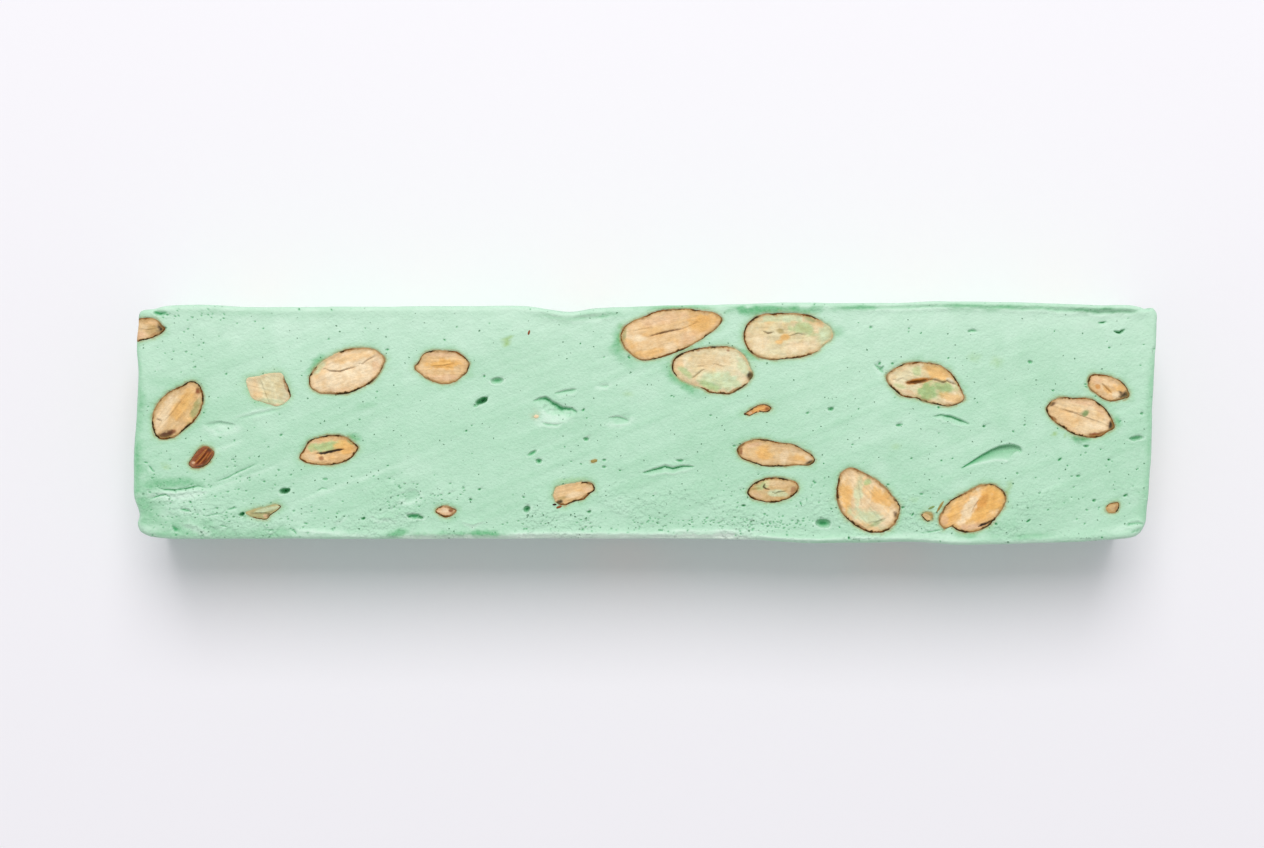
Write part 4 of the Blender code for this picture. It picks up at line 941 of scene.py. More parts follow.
class BarShape:
    """The bar's smooth form: its edge outline in plan carried through its section.

    end_skew is how far the saw cuts of the right and left ends lean per unit of y, and settle the
    share of its wander that the edge loses by the underside. A point of the outline belongs to an end
    or a long side where its x or y lies beyond sides_from; the section above top_from shapes the top.
    """

    end_skew = {1: 0.040, -1: 0.020}
    settle = 0.6
    sides_from = (99.0, 21.0)
    top_from = 23.5
    edge_steps = 16
    section_steps = 24

    def __init__(self) -> None:
        """Works out the four sides of the edge outline and the section as dense curves."""
        loop = closed_spline(np.array(EDGE), self.edge_steps)
        marks = [round(corner * self.edge_steps) for corner in CORNERS]
        self.sides: dict[Face, Array] = {}
        for face, start, end in zip(AROUND, marks, marks[1:] + [marks[0] + len(loop)]):
            self.sides[face] = loop[np.arange(start, end + 1) % len(loop)]
        section = np.array(SECTION)
        padded = np.vstack([2 * section[0] - section[1], section, 2 * section[-1] - section[-2]])
        steps = self.section_steps
        smooth = closed_spline(padded, steps)[steps : steps * len(section) + 1]
        self.section = np.stack([np.clip(c, a.min(), a.max()) for c, a in zip(smooth.T, section.T)], axis=1)

    def settled(self, plan: Array, share: Array | float) -> Array:
        """Plan points moved towards the straight saw cuts by a share of how far they wander.

        Args:
            plan: (..., 2) x and y of the upper edge.
            share: 0 at the upper edge to 1 at the underside.

        Returns:
            The moved x and y.
        """
        x, y = plan[..., 0], plan[..., 1]
        pull = np.asarray(share) * self.settle
        y = y + np.where(np.abs(y) > self.sides_from[1], pull * (np.copysign(HALF_WIDTH, y) - y), 0.0)
        skew = np.where(x > 0, self.end_skew[1], self.end_skew[-1])
        to_cut = np.copysign(HALF_LENGTH, x) + skew * y - x
        x = x + np.where(np.abs(x) > self.sides_from[0], pull * to_cut, 0.0)
        return pair(x, y)

    def ring(self, station: Array, edge: Array) -> Array:
        """One closed ring of the surface.

        Args:
            station: height, inset, lip lift and settling of the section there.
            edge: (n, 3) x, y and lip of the edge outline.

        Returns:
            (n, 3) points: the outline drawn in by the inset, at the height plus lift times lip.
        """
        height, inset, lift, share = station
        plan = self.settled(edge[:, :2], share)
        shrink = np.array([1.0 - inset / HALF_LENGTH, 1.0 - inset / HALF_WIDTH])
        return np.column_stack([plan * shrink, height + lift * edge[:, 2]])

    def side_value(self, side: Face, along: Array, column: int) -> Array:
        """Reads a side of the upper edge's outline at places along it.

        Args:
            side: which side.
            along: x or y along it.
            column: 0 and 1 for x and y, 2 for the lip.

        Returns:
            The column's value at each.
        """
        outline, axis = self.sides[side], PLANES[side].u[0]
        order = np.argsort(outline[:, axis])
        return np.interp(along, outline[order, axis], outline[order, column])

    def inset_from(self, side: Face, x: Array, y: Array) -> tuple[Array, Array]:
        """Measures in from a side of the upper edge.

        Args:
            side: which side.
            x, y: the places.

        Returns:
            The place along the side, and the distance in from it.
        """
        axis, sign = PLANES[side].w
        along, across = (x, y) if axis else (y, x)
        return along, sign * (self.side_value(side, along, axis) - across)

    def rise(self, face: Face, u: Array, v: Array) -> Array:
        """How far the smooth surface stands out of a face's plane.

        On the top the section is read by the distance in from the nearest side, elsewhere by height.

        Args:
            face: which face.
            u, v: places in it.

        Returns:
            The height over the plane, mm.
        """
        if face is Face.BASE:
            return np.zeros(np.broadcast(u, v).shape)
        if face is Face.TOP:
            found = [self.inset_from(side, u, v) for side in AROUND]
            gaps = np.stack([gap for _, gap in found])
            inset = gaps.min(axis=0)
            lips = np.stack([self.side_value(side, along, 2) for side, (along, _) in zip(AROUND, found)])
            lip = np.take_along_axis(lips, gaps.argmin(axis=0)[None], axis=0)[0]
            upper = self.section[self.section[:, 0] > self.top_from][::-1]
            height = np.interp(inset, upper[:, 1], upper[:, 0])
            return height + np.interp(inset, upper[:, 1], upper[:, 2]) * lip - HEIGHT
        lower = self.section[::-1]
        share = np.interp(v, lower[:, 0], lower[:, 3])
        inset = np.interp(v, lower[:, 0], lower[:, 1])
        across = PLANES[face].w[0]
        half = (HALF_LENGTH, HALF_WIDTH)[across]
        along = u * PLANES[face].u[1]
        edge = self.side_value(face, along, across)
        plan = self.settled(pair(along, edge) if across else pair(edge, along), share)
        return np.abs(plan[..., across]) * (1.0 - inset / half) - half

    @staticmethod
    def lumps(points: Array) -> Array:
        """The soft unevenness of pulled nougat, mm along the normal: three sizes of noise, none below."""
        swell = 0.10 * grain(points, 9.0, SEED) + 0.045 * grain(points, 3.4, SEED + 1)
        return (swell + 0.018 * grain(points, 1.3, SEED + 2)) * ease(0.0, 1.5, points[..., 2])


# ---- kernels


class Kernel:
    """One cut kernel in the frame of its face: a round-bottomed body under its outline on the face.

    Its share q of the way from the centre to the outline, at any angle, and its depth make the body:
    the skin lies where q^2 + (sink / depth)^2 = 1.
    """

    span_steps = 24
    outline_steps = 720
    least_lean = 0.45

    def __init__(self, face: Face, spec: CutKernel, outline: Array) -> None:
        """Works out the outline as radius against angle.

        Args:
            face: the face that cuts the kernel.
            spec: its depth, tones and marks.
            outline: (n, 2) control points in the face's u and v.
        """
        self.face, self.spec, self.name = face, spec, spec.name
        following = np.roll(outline, -1, axis=0)
        if (outline[:, 0] * following[:, 1] - following[:, 0] * outline[:, 1]).sum() < 0:
            outline = outline[::-1]
        loop = even_steps(closed_spline(outline, self.span_steps), self.outline_steps, closed=True)
        self.centre = loop.mean(axis=0)
        arm = loop - self.centre
        reach = np.hypot(*arm.T)
        run = np.roll(loop, -1, axis=0) - np.roll(loop, 1, axis=0)
        run /= np.hypot(*run.T)[:, None]
        lean = np.maximum((arm[:, 0] * run[:, 1] - arm[:, 1] * run[:, 0]) / reach, self.least_lean)
        angle = np.arctan2(arm[:, 1], arm[:, 0])
        order = np.argsort(angle)
        wobble = 0.06 * grain(loop, 1.1, SEED + 15) + 0.045 * grain(loop, 0.4, SEED + 16)
        self.angles, self.reaches, self.leans = angle[order], (reach + wobble)[order], lean[order]
        self.low, self.high = loop.min(axis=0), loop.max(axis=0)
        spread = np.cov(arm.T)
        self.lean = math.degrees(0.5 * math.atan2(2.0 * spread[0, 1], spread[0, 0] - spread[1, 1]))

    def polar(self, u: Array, v: Array) -> tuple[Array, Array, Array]:
        """Places in the terms of the kernel's outline.

        Args:
            u, v: the places.

        Returns:
            Share q of the outline's radius, that radius times its lean, and the angle.
        """
        du, dv = u - self.centre[0], v - self.centre[1]
        angle = np.arctan2(dv, du)
        reach = np.interp(angle, self.angles, self.reaches, period=FULL_TURN)
        lean = np.interp(angle, self.angles, self.leans, period=FULL_TURN)
        return np.hypot(du, dv) / reach, reach * lean, angle

    def under_skin(self, u: Array, v: Array, sink: Array | float = 0.0) -> Array:
        """How deep a place lies under the kernel's skin, mm; negative outside it."""
        share, reach, _ = self.polar(u, v)
        return (1.0 - np.sqrt(share**2 + (np.asarray(sink) / self.spec.depth) ** 2)) * reach

    def colours(self, u: Array, v: Array, sink: Array) -> Array:
        """Flesh colour and skin depth at places of the kernel.

        The tone, clouds of paler and deeper flesh, a warmer band inside the skin, then the patches, darker
        olive towards the rim, the fibres that run along the kernel, mottling, and painted shade in the
        cracks. The fourth column is the depth under the skin, mm, made greater where the skin is bare.

        Args:
            u: places along the face.
            v: places across it.
            sink: how far below the face they lie.

        Returns:
            (n, 4) linear colour and skin depth.
        """
        spec = self.spec
        places = pair(u, v)
        depth = self.under_skin(u, v, sink)
        _, _, angle = self.polar(u, v)
        colour = np.broadcast_to(linear(spec.tone.value), u.shape + (3,)).copy()

        def mix(tone: Tone, share: Array) -> None:
            """Mixes a tone into the colours by a share."""
            colour[...] += (linear(tone.value) - colour) * np.clip(share, 0.0, 1.0)[..., None]

        size = min(1.0, float(np.mean(self.reaches)) / 3.5) * (0.3 if spec.slot is Slot.SKIN else 1.0)
        cloud = ragged(places, 2.6, SEED + 4)
        mix(Tone.CREAM, 0.50 * size * np.clip(cloud, 0.0, 1.0))
        mix(Tone.AMBER, 0.50 * size * np.clip(-cloud, 0.0, 1.0))
        mix(Tone.BLUSH, 0.45 * size * ease(1.5, 0.2, depth + 0.45 * grain(places, 1.3, SEED + 5)))
        wander = 0.42 * ragged(places, 1.1, SEED + 6)
        for patch in spec.patches:
            a, b = turned(u - patch.u, v - patch.v, patch.turn)
            away = np.hypot(a / patch.length, b / patch.width) + wander * min(1.0, patch.width / 0.9)
            mix(patch.tone, patch.strength * ease(1.3, 0.55, away))
        # Darker olive towards the rim of the flesh, as strong as the halo.
        rim_band = depth + 0.3 * ragged(places, 0.9, SEED + 17)
        mix(Tone.OLIVE, 0.34 * size * spec.halo * ease(1.15, 0.15, rim_band))
        a, b = turned(u, v, self.lean)
        fibre = grain(pair(a, b), (2.6, 0.30), SEED + 7)
        fibre += 0.6 * grain(pair(a, b), (1.2, 0.16), SEED + 13)
        mottle = ragged(places, 0.6, SEED + 8)
        colour *= (1.0 + 0.085 * fibre + 0.09 * mottle)[..., None]
        # Painted shade in the cracks: umber in the darkest slits, bark elsewhere.
        for crack in spec.cracks:
            distance, share, _ = path_distance(u, v, crack.points)
            uneven = 0.5 + 0.25 * grain(places, 0.4, SEED + 10)
            edge = crack.width * np.maximum(crack.taper(share), 0.25) * uneven
            near = ease(1.25, 0.35, distance / edge)
            mix(Tone.UMBER if crack.dark > 0.95 else Tone.BARK, crack.dark * near)
        for first, last in spec.bare:
            middle, half = math.radians((first + last) / 2.0), math.radians((last - first) / 2.0)
            off = np.abs((angle - middle + math.pi) % FULL_TURN - math.pi)
            depth = depth + 0.9 * ease(half + 0.15, half - 0.15, off)
        depth = np.where(depth > 0.0, depth * 0.27 / spec.skin, depth)
        return np.concatenate([colour, np.clip(depth, 0.0, 4.0)[..., None]], axis=-1)

    def relief(self, u: Array, v: Array) -> Array:
        """Height of the cut surface over the bar's: slight swell, torn fibres and the cracks.

        Args:
            u, v: places in the face.

        Returns:
            The height at each, mm.
        """
        places = pair(u, v)
        depth = self.under_skin(u, v)
        height = 0.03 + 0.10 * grain(places, 2.8, SEED + 11) * ease(0.0, 1.0, depth)
        a, b = turned(u, v, self.lean)
        height += 0.032 * grain(pair(a, b), (3.0, 0.5), SEED + 14)
        height += 0.026 * ragged(places, 0.7, SEED + 12) - 0.08 * ease(0.22, 0.0, depth)
        for crack in self.spec.cracks:
            distance, share, side = path_distance(u, v, crack.points)
            taper = crack.taper(share)
            height -= crack.depth * taper * ease(1.15, 0.2, distance / (crack.width * 0.55))
            height += 0.05 * taper * np.exp(-((distance / crack.width - 1.1) ** 2) * 4.0) * side
        return height


# ---- relief of faces


class FaceField:
    """Relief, colour and painted shade of the hollows of one face of the bar on a regular grid of its u and
    v.
    """

    def __init__(self, half: tuple[float, float], middle: float, pitch: float) -> None:
        """Lays out an empty grid of plain mint.

        Args:
            half: half its reach along u and v.
            middle: the v at its middle.
            pitch: grid step in mm.
        """
        self.pitch = pitch
        self.u = np.arange(-half[0], half[0] + pitch, pitch)
        self.v = np.arange(middle - half[1], middle + half[1] + pitch, pitch)
        self.height = np.zeros((len(self.u), len(self.v)))
        # Painted shade of the pits and creases, 0 to 1.
        self.hollow = np.zeros((len(self.u), len(self.v)))
        self.colour = np.tile(linear(Tone.MINT.value), (len(self.u), len(self.v), 1))

    def window(self, low: Array, high: Array) -> tuple[tuple[slice, slice], Array, Array]:
        """The part of the grid between two corners.

        Args:
            low, high: the corners.

        Returns:
            Its slices, and its u and v as arrays.
        """
        i0, j0 = (max(0, int((c - axis[0]) / self.pitch)) for c, axis in zip(low, (self.u, self.v)))
        i1, j1 = (max(0, int((c - axis[0]) / self.pitch) + 2) for c, axis in zip(high, (self.u, self.v)))
        part = (slice(i0, i1), slice(j0, j1))
        u, v = np.meshgrid(self.u[part[0]], self.v[part[1]], indexing="ij")
        return part, u, v

    def tint(self, part: tuple[slice, slice], tone: Tone, share: Array) -> None:
        """Mixes a tone into part of the grid by a share."""
        self.colour[part] += (linear(tone.value) - self.colour[part]) * np.clip(share, 0.0, 1.0)[..., None]

    def pit(self, pit: Pit) -> None:
        """Presses an uneven steep-walled bowl into the face, with a rim on its -v side, a painted highlight
        on that rim and painted shade inside, reaching further towards +v.

        Its depth goes as (1 - r^2)^0.45, r being the share of its uneven radius.

        Args:
            pit: the bowl.
        """
        reach = pit.length * 0.8 + 0.5
        part, u, v = self.window(np.array([pit.u, pit.v]) - reach, np.array([pit.u, pit.v]) + reach)
        if not u.size:
            return
        a, b = turned(u - pit.u, v - pit.v, pit.turn)
        b = np.where(b > 0.0, b * 1.12, b * 0.9)
        away = np.hypot(a / (pit.length / 2.0), b / (pit.width / 2.0))
        places = pair(u, v)
        away *= 1.0 + 0.20 * grain(places, max(0.35, pit.width * 0.6), SEED + 20)
        self.height[part] -= pit.depth * np.clip(1.0 - away**2, 0.0, 1.0) ** 0.45
        self.height[part] += pit.rim * np.exp(-(((away - 1.2) / 0.22) ** 2)) * (b < 0.0)
        # Painted highlight on the -v rim, the side that faces the lamp.
        self.tint(part, Tone.PALE_MINT, 0.55 * np.exp(-(((away - 1.15) / 0.25) ** 2)) * (b < 0.0))
        # Painted shade inside, reaching further towards the +v wall.
        shade = pit.dark * ease(1.12, 0.6, away + 0.35 * np.clip(-b / pit.width, -0.4, 1.0))
        self.hollow[part] = np.maximum(self.hollow[part], shade)

    def crease(self, crease: Crease) -> None:
        """Presses a swelling groove along a path, with lips, painted shade in its bottom and a painted
        highlight by the lip of its right side.

        Where it has a slope it is steep on its left and gentle on its right: on the steep side the floor
        is a bowl e^(-(d / half)^n), n = 3 where it is deep and else 2, and on the gentle side a
        smoothstep up to the foot, where the lip stands with its painted highlight.

        Args:
            crease: the groove.
        """
        path = np.asarray(crease.points, dtype=float)
        reach = max(crease.width, crease.slope) * 1.8 + 0.6
        part, u, v = self.window(path.min(axis=0) - reach, path.max(axis=0) + reach)
        if not u.size:
            return
        deep = crease.depth > 0.8
        distance, share, side = path_distance(u, v, crease.points)
        taper = crease.taper(share)
        taper = taper * (1.0 + (0.05 if crease.wedge else 0.25) * grain(pair(u, v), 0.8, SEED + 21))
        half = np.maximum(crease.width * 0.5 * taper, 0.06)
        gentle = np.maximum(crease.slope * taper, half)
        bowl = np.exp(-((distance / half) ** (3 if deep else 2)))
        right = ease(1.0, 0.0, distance / gentle) if crease.slope else bowl
        self.height[part] -= crease.depth * taper * np.where(side > 0, bowl, right)
        foot = half * 2.0
        if crease.slope:
            foot = np.where(side > 0, foot, gentle * (1.0 if crease.wedge else 1.15))
        beside = np.exp(-(((distance - foot) / (0.35 * crease.width + 0.1)) ** 2))
        self.height[part] += crease.lip * taper * beside
        # Painted highlight along the lip on its right side.
        lip_highlight = 0.9 * np.sqrt(taper) if crease.wedge else 0.45 * taper
        self.tint(part, Tone.PALE_MINT, lip_highlight * beside * (side < 0))
        # Painted shade in the groove, by its darkness, fading along its run.
        dark_right = np.maximum(half * 1.1, gentle * (1.0 if crease.wedge else 0.3))
        reach_dark = np.where(side > 0, half * (1.5 if deep else 1.15), dark_right)
        ends = np.sqrt(np.clip(taper, 0.0, 1.0))
        if crease.wedge:
            ends = ease(0.0, 0.02, share) * ease(1.0, 0.93, share)
        shade = crease.dark * (1.0 - crease.fade * share * (2.0 - share)) * ends
        shade = shade * ease(1.0, 0.3 if crease.wedge else 0.1, distance / reach_dark)
        self.hollow[part] = np.maximum(self.hollow[part], shade)

    def smear(self, patch: Patch) -> None:
        """Adds a soft ragged stain.

        Args:
            patch: the stain.
        """
        middle = np.array([patch.u, patch.v])
        reach = max(patch.length, patch.width) * 1.6
        part, u, v = self.window(middle - reach, middle + reach)
        if not u.size:
            return
        a, b = turned(u - patch.u, v - patch.v, patch.turn)
        away = np.hypot(a / patch.length, b / patch.width)
        away += 0.45 * ragged(pair(u, v), 1.3, SEED + 22)
        self.tint(part, patch.tone, patch.strength * ease(1.4, 0.3, away))

    def hem(self, hem: Hem, bar: BarShape) -> None:
        """Paints and raises a band along one side of the top face, fading at its ends.

        Args:
            hem: the band.
            bar: the shape whose edge it follows.
        """
        u, v = np.meshgrid(self.u, self.v, indexing="ij")
        along, inset = bar.inset_from(hem.face, u, v)
        places = pair(u, v)
        wander = 0.35 * hem.half * grain(places, 2.2, SEED + 27)
        wander = wander + 0.35 * hem.half * grain(places, 0.7, SEED + 28)
        band = np.exp(-(((inset + wander - hem.inset) / hem.half) ** 2))
        band *= ease(hem.low - 1.0, hem.low + 3.0, along) * ease(hem.high + 1.0, hem.high - 3.0, along)
        uneven = 0.75 + 0.35 * grain(places, 4.0, SEED + 29)
        self.tint(WHOLE, hem.tone, hem.strength * band * uneven)
        self.height += hem.rise * band * uneven

    def seat(self, kernel: Kernel, overlap: float) -> None:
        """Sinks the kernel's pocket, dips the nougat round its rim and tints it there deeper green, lime
        and olive.

        Args:
            kernel: the kernel in this face.
            overlap: how far the nougat reaches in under the kernel's edge.
        """
        part, u, v = self.window(kernel.low - 3.0, kernel.high + 3.0)
        share, reach, _ = kernel.polar(u, v)
        inside = (1.0 - share) * reach
        places = pair(u, v)
        pocket = kernel.spec.depth * np.sqrt(np.clip(1.0 - share**2, 0.0, 1.0)) + 0.12
        keep = 0.25 + 0.75 * ease(0.0, 1.0, -inside)
        self.height[part] = np.where(inside > -0.3, self.height[part] * keep, self.height[part])
        dip = 0.07 + 0.05 * grain(places, 1.6, SEED + 23)
        self.height[part] -= dip * np.exp(-((np.minimum(inside + 0.05, 0.0) / 0.30) ** 2))
        self.height[part] -= 0.12 * ease(0.0, 0.3, inside)
        self.height[part] = np.where(inside > overlap, -pocket, self.height[part])
        self.hollow[part] *= ease(-0.05, 0.35, -inside)
        uneven = 0.5 + 0.5 * grain(places, 2.6, SEED + 25)
        fine = 0.5 * ragged(places, 0.8, SEED + 24)
        self.tint(part, Tone.DEEP_MINT, 0.30 * ease(1.6, 0.1, -inside + fine) * uneven)
        self.tint(part, Tone.LIME, 0.30 * ease(1.1, 0.1, -inside + 0.6 * fine) * (1.0 - 0.6 * uneven))
        stain = 0.95 * kernel.spec.halo * ease(0.42, 0.05, -inside + 0.3 * fine)
        self.tint(part, Tone.OLIVE, stain * (1.0 - 0.45 * uneven))

    def pores(self, count: int, rng: np.random.Generator, largest: float) -> None:
        """Scatters small bubbles cut open by the knife, most of them tiny.

        Args:
            count: how many.
            rng: where the draws come from.
            largest: the greatest radius in mm.
        """
        places = rng.uniform([self.u[0], self.v[0]], [self.u[-1], self.v[-1]], (count, 2))
        radii = 0.11 + (largest - 0.11) * rng.random(count) ** 3.0
        stretch = rng.uniform(1.0, 2.2, count)
        turns = rng.normal(18.0, 30.0, count)
        # How dark the painted shade inside each bubble is.
        darks = rng.uniform(0.45, 1.0, count)
        for (u, v), radius, long, turn, dark in zip(places, radii, stretch, turns, darks):
            self.pit(Pit(u, v, 2.0 * radius * long, 2.0 * radius, radius * 1.9, turn, dark, 0.035))

    def sample(self, values: Array, u: Array, v: Array) -> Array:
        """Reads a grid between its points, bilinearly.

        Args:
            values: the grid.
            u, v: the places.

        Returns:
            One value or colour for each place.
        """
        x = np.clip((u - self.u[0]) / self.pitch, 0.0, len(self.u) - 1.001)
        y = np.clip((v - self.v[0]) / self.pitch, 0.0, len(self.v) - 1.001)
        i, j = x.astype(int), y.astype(int)
        fx, fy = x - i, y - j
        if values.ndim == 3:
            fx, fy = fx[:, None], fy[:, None]
        low = values[i, j] * (1.0 - fy) + values[i, j + 1] * fy
        high = values[i + 1, j] * (1.0 - fy) + values[i + 1, j + 1] * fy
        return low * (1.0 - fx) + high * fx


# ---- finishes


class NodeSheet:
    """Short ways to place and link the nodes of a material or group."""

    def __init__(self, tree: NodeTree) -> None:
        """Works on one node tree."""
        self.tree = tree

    def node(self, kind: str, **values: object) -> Node:
        """Adds a node.

        Args:
            kind: its type.
            values: properties to set on it.

        Returns:
            The node.
        """
        made = self.tree.nodes.new(kind)
        for key, value in values.items():
            setattr(made, key, value)
        return made

    def feed(self, socket: NodeSocket, source: object) -> None:
        """Links a socket to another, or sets its value.

        Args:
            socket: the input.
            source: an output, or a number, vector or colour.
        """
        if isinstance(source, NodeSocket):
            self.tree.links.new(source, socket)
        else:
            socket.default_value = source

    def math(self, operation: str, *terms: object, clamp: bool = False) -> NodeSocket:
        """Adds a Math node.

        Args:
            operation: its kind.
            terms: its inputs.
            clamp: whether to keep it within 0 to 1.

        Returns:
            Its result.
        """
        made = self.node("ShaderNodeMath", operation=operation, use_clamp=clamp)
        for socket, term in zip(made.inputs, terms):
            self.feed(socket, term)
        return made.outputs[0]

    def blend(self, share: object, first: object, second: object, how: str = "MIX") -> NodeSocket:
        """Mixes two colours.

        Args:
            share: how much of the second.
            first, second: the colours.
            how: the way of blending.

        Returns:
            The mixed colour.
        """
        made = self.node("ShaderNodeMix", data_type="RGBA", blend_type=how, clamp_factor=True)
        self.feed(made.inputs[0], share)
        self.feed(made.inputs[6], first)
        self.feed(made.inputs[7], second)
        return made.outputs[2]

    def spread(self, value: object, low: float, high: float, to_low: float = 0.0,
               to_high: float = 1.0) -> NodeSocket:
        """Carries a value smoothly from one range to another.

        Args:
            value: the value.
            low, high: its range.
            to_low, to_high: the range of the result.

        Returns:
            The carried value.
        """
        made = self.node("ShaderNodeMapRange", interpolation_type="SMOOTHSTEP")
        for socket, term in zip(made.inputs, (value, low, high, to_low, to_high)):
            self.feed(socket, term)
        return made.outputs[0]

    def noise(self, place: object, scale: float, detail: float = 2.0, roughness: float = 0.5) -> NodeSocket:
        """Adds a noise texture.

        Args:
            place: where it is read.
            scale: cells in a metre.
            detail: octaves of it.
            roughness: how much each octave adds.

        Returns:
            Its value.
        """
        made = self.node("ShaderNodeTexNoise")
        self.feed(made.inputs["Vector"], place)
        self.feed(made.inputs["Scale"], scale)
        self.feed(made.inputs["Detail"], detail)
        self.feed(made.inputs["Roughness"], roughness)
        return made.outputs["Fac"]

    def place(self) -> NodeSocket:
        """The Object coordinates."""
        return self.node("ShaderNodeTexCoord").outputs["Object"]

    def group(self, tree: NodeTree, **values: float) -> Node:
        """Places a node group.

        Args:
            tree: the group.
            values: what its inputs are set to.

        Returns:
            Its node.
        """
        made = self.node("ShaderNodeGroup", node_tree=tree)
        for name, value in values.items():
            made.inputs[name].default_value = value
        return made

    def bump(self, height: NodeSocket, strength: float, distance: float) -> NodeSocket:
        """Turns a height into a normal.

        Args:
            height: the height.
            strength: how much of it shows.
            distance: metres for a height of 1.

        Returns:
            The normal.
        """
        made = self.node("ShaderNodeBump")
        self.feed(made.inputs["Strength"], strength)
        self.feed(made.inputs["Distance"], distance)
        self.feed(made.inputs["Height"], height)
        return made.outputs[0]


def rgba(rgb: tuple[float, float, float]) -> tuple[float, ...]:
    """An sRGB colour of 0 to 255 as linear light with full alpha."""
    return (*(float(c) for c in linear(rgb)), 1.0)


def new_material(name: str) -> tuple[Material, NodeSheet, bpy.types.NodeInputs]:
    """Starts a material.

    Args:
        name: its name.

    Returns:
        The material, the sheet of its nodes, and the sockets of its shader.
    """
    made = bpy.data.materials.new(name)
    made.use_nodes = True
    return made, NodeSheet(made.node_tree), made.node_tree.nodes["Principled BSDF"].inputs


def new_group(name: str, takes: dict[str, float],
              gives: tuple[str, ...]) -> tuple[NodeSheet, bpy.types.NodeOutputs, bpy.types.NodeInputs]:
    """An empty shader group.

    Args:
        name: the group's name.
        takes: its inputs and their values.
        gives: its outputs.

    Returns:
        The sheet of its nodes, what the group is given, and the sockets of its results.
    """
    tree = bpy.data.node_groups.new(name, "ShaderNodeTree")
    for label, value in takes.items():
        socket = tree.interface.new_socket(label, in_out="INPUT", socket_type="NodeSocketFloat")
        socket.default_value = value
    for label in gives:
        tree.interface.new_socket(label, in_out="OUTPUT", socket_type="NodeSocketFloat")
    sheet = NodeSheet(tree)
    return sheet, sheet.node("NodeGroupInput").outputs, sheet.node("NodeGroupOutput").inputs


def crumb_group() -> NodeTree:
    """The fine crumb that nougat and almond share: two mottles and their height.

    Returns:
        The shader group.
    """
    sheet, given, result = new_group("crumb_grain", {"Coarse": 400.0, "Fine": 3000.0},
                                     ("Mottle", "Speck", "Height"))
    place = sheet.place()
    coarse = sheet.noise(place, given["Coarse"], 3.0, 0.55)
    fine = sheet.noise(place, given["Fine"], 2.0, 0.6)
    sheet.feed(result["Mottle"], sheet.spread(coarse, 0.3, 0.7))
    sheet.feed(result["Speck"], sheet.spread(fine, 0.3, 0.7))
    sheet.feed(result["Height"], sheet.math("MULTIPLY_ADD", coarse, 0.6, fine))
    return sheet.tree


def pinhole_group() -> NodeTree:
    """Scattered pinholes: a cell pattern of which each cell may hold one hole of its own size.

    Returns:
        The shader group.
    """
    sheet, given, result = new_group("pinholes", {"Scale": 1000.0, "Share": 0.3, "Radius": 0.2}, ("Mask",))
    cells = sheet.node("ShaderNodeTexVoronoi")
    place = sheet.place()
    bend = sheet.node("ShaderNodeTexNoise")
    sheet.feed(bend.inputs["Vector"], place)
    sheet.feed(bend.inputs["Scale"], 2600.0)
    bent = sheet.node("ShaderNodeVectorMath", operation="MULTIPLY_ADD")
    sheet.feed(bent.inputs[0], bend.outputs["Color"])
    sheet.feed(bent.inputs[1], (0.00045,) * 3)
    sheet.feed(bent.inputs[2], place)
    sheet.feed(cells.inputs["Vector"], bent.outputs[0])
    sheet.feed(cells.inputs["Scale"], given["Scale"])
    parts = sheet.node("ShaderNodeSeparateColor")
    sheet.feed(parts.inputs[0], cells.outputs["Color"])
    least = sheet.math("SUBTRACT", 1.0, given["Share"])
    radius = sheet.node("ShaderNodeMapRange")
    for socket, term in zip(radius.inputs, (parts.outputs[0], least, 1.0, 0.0, given["Radius"])):
        sheet.feed(socket, term)
    inner = sheet.math("SUBTRACT", radius.outputs[0], cells.outputs["Distance"])
    soft = sheet.math("MULTIPLY", given["Radius"], 0.4)
    sheet.feed(result["Mask"], sheet.spread(inner, 0.0, soft))
    return sheet.tree


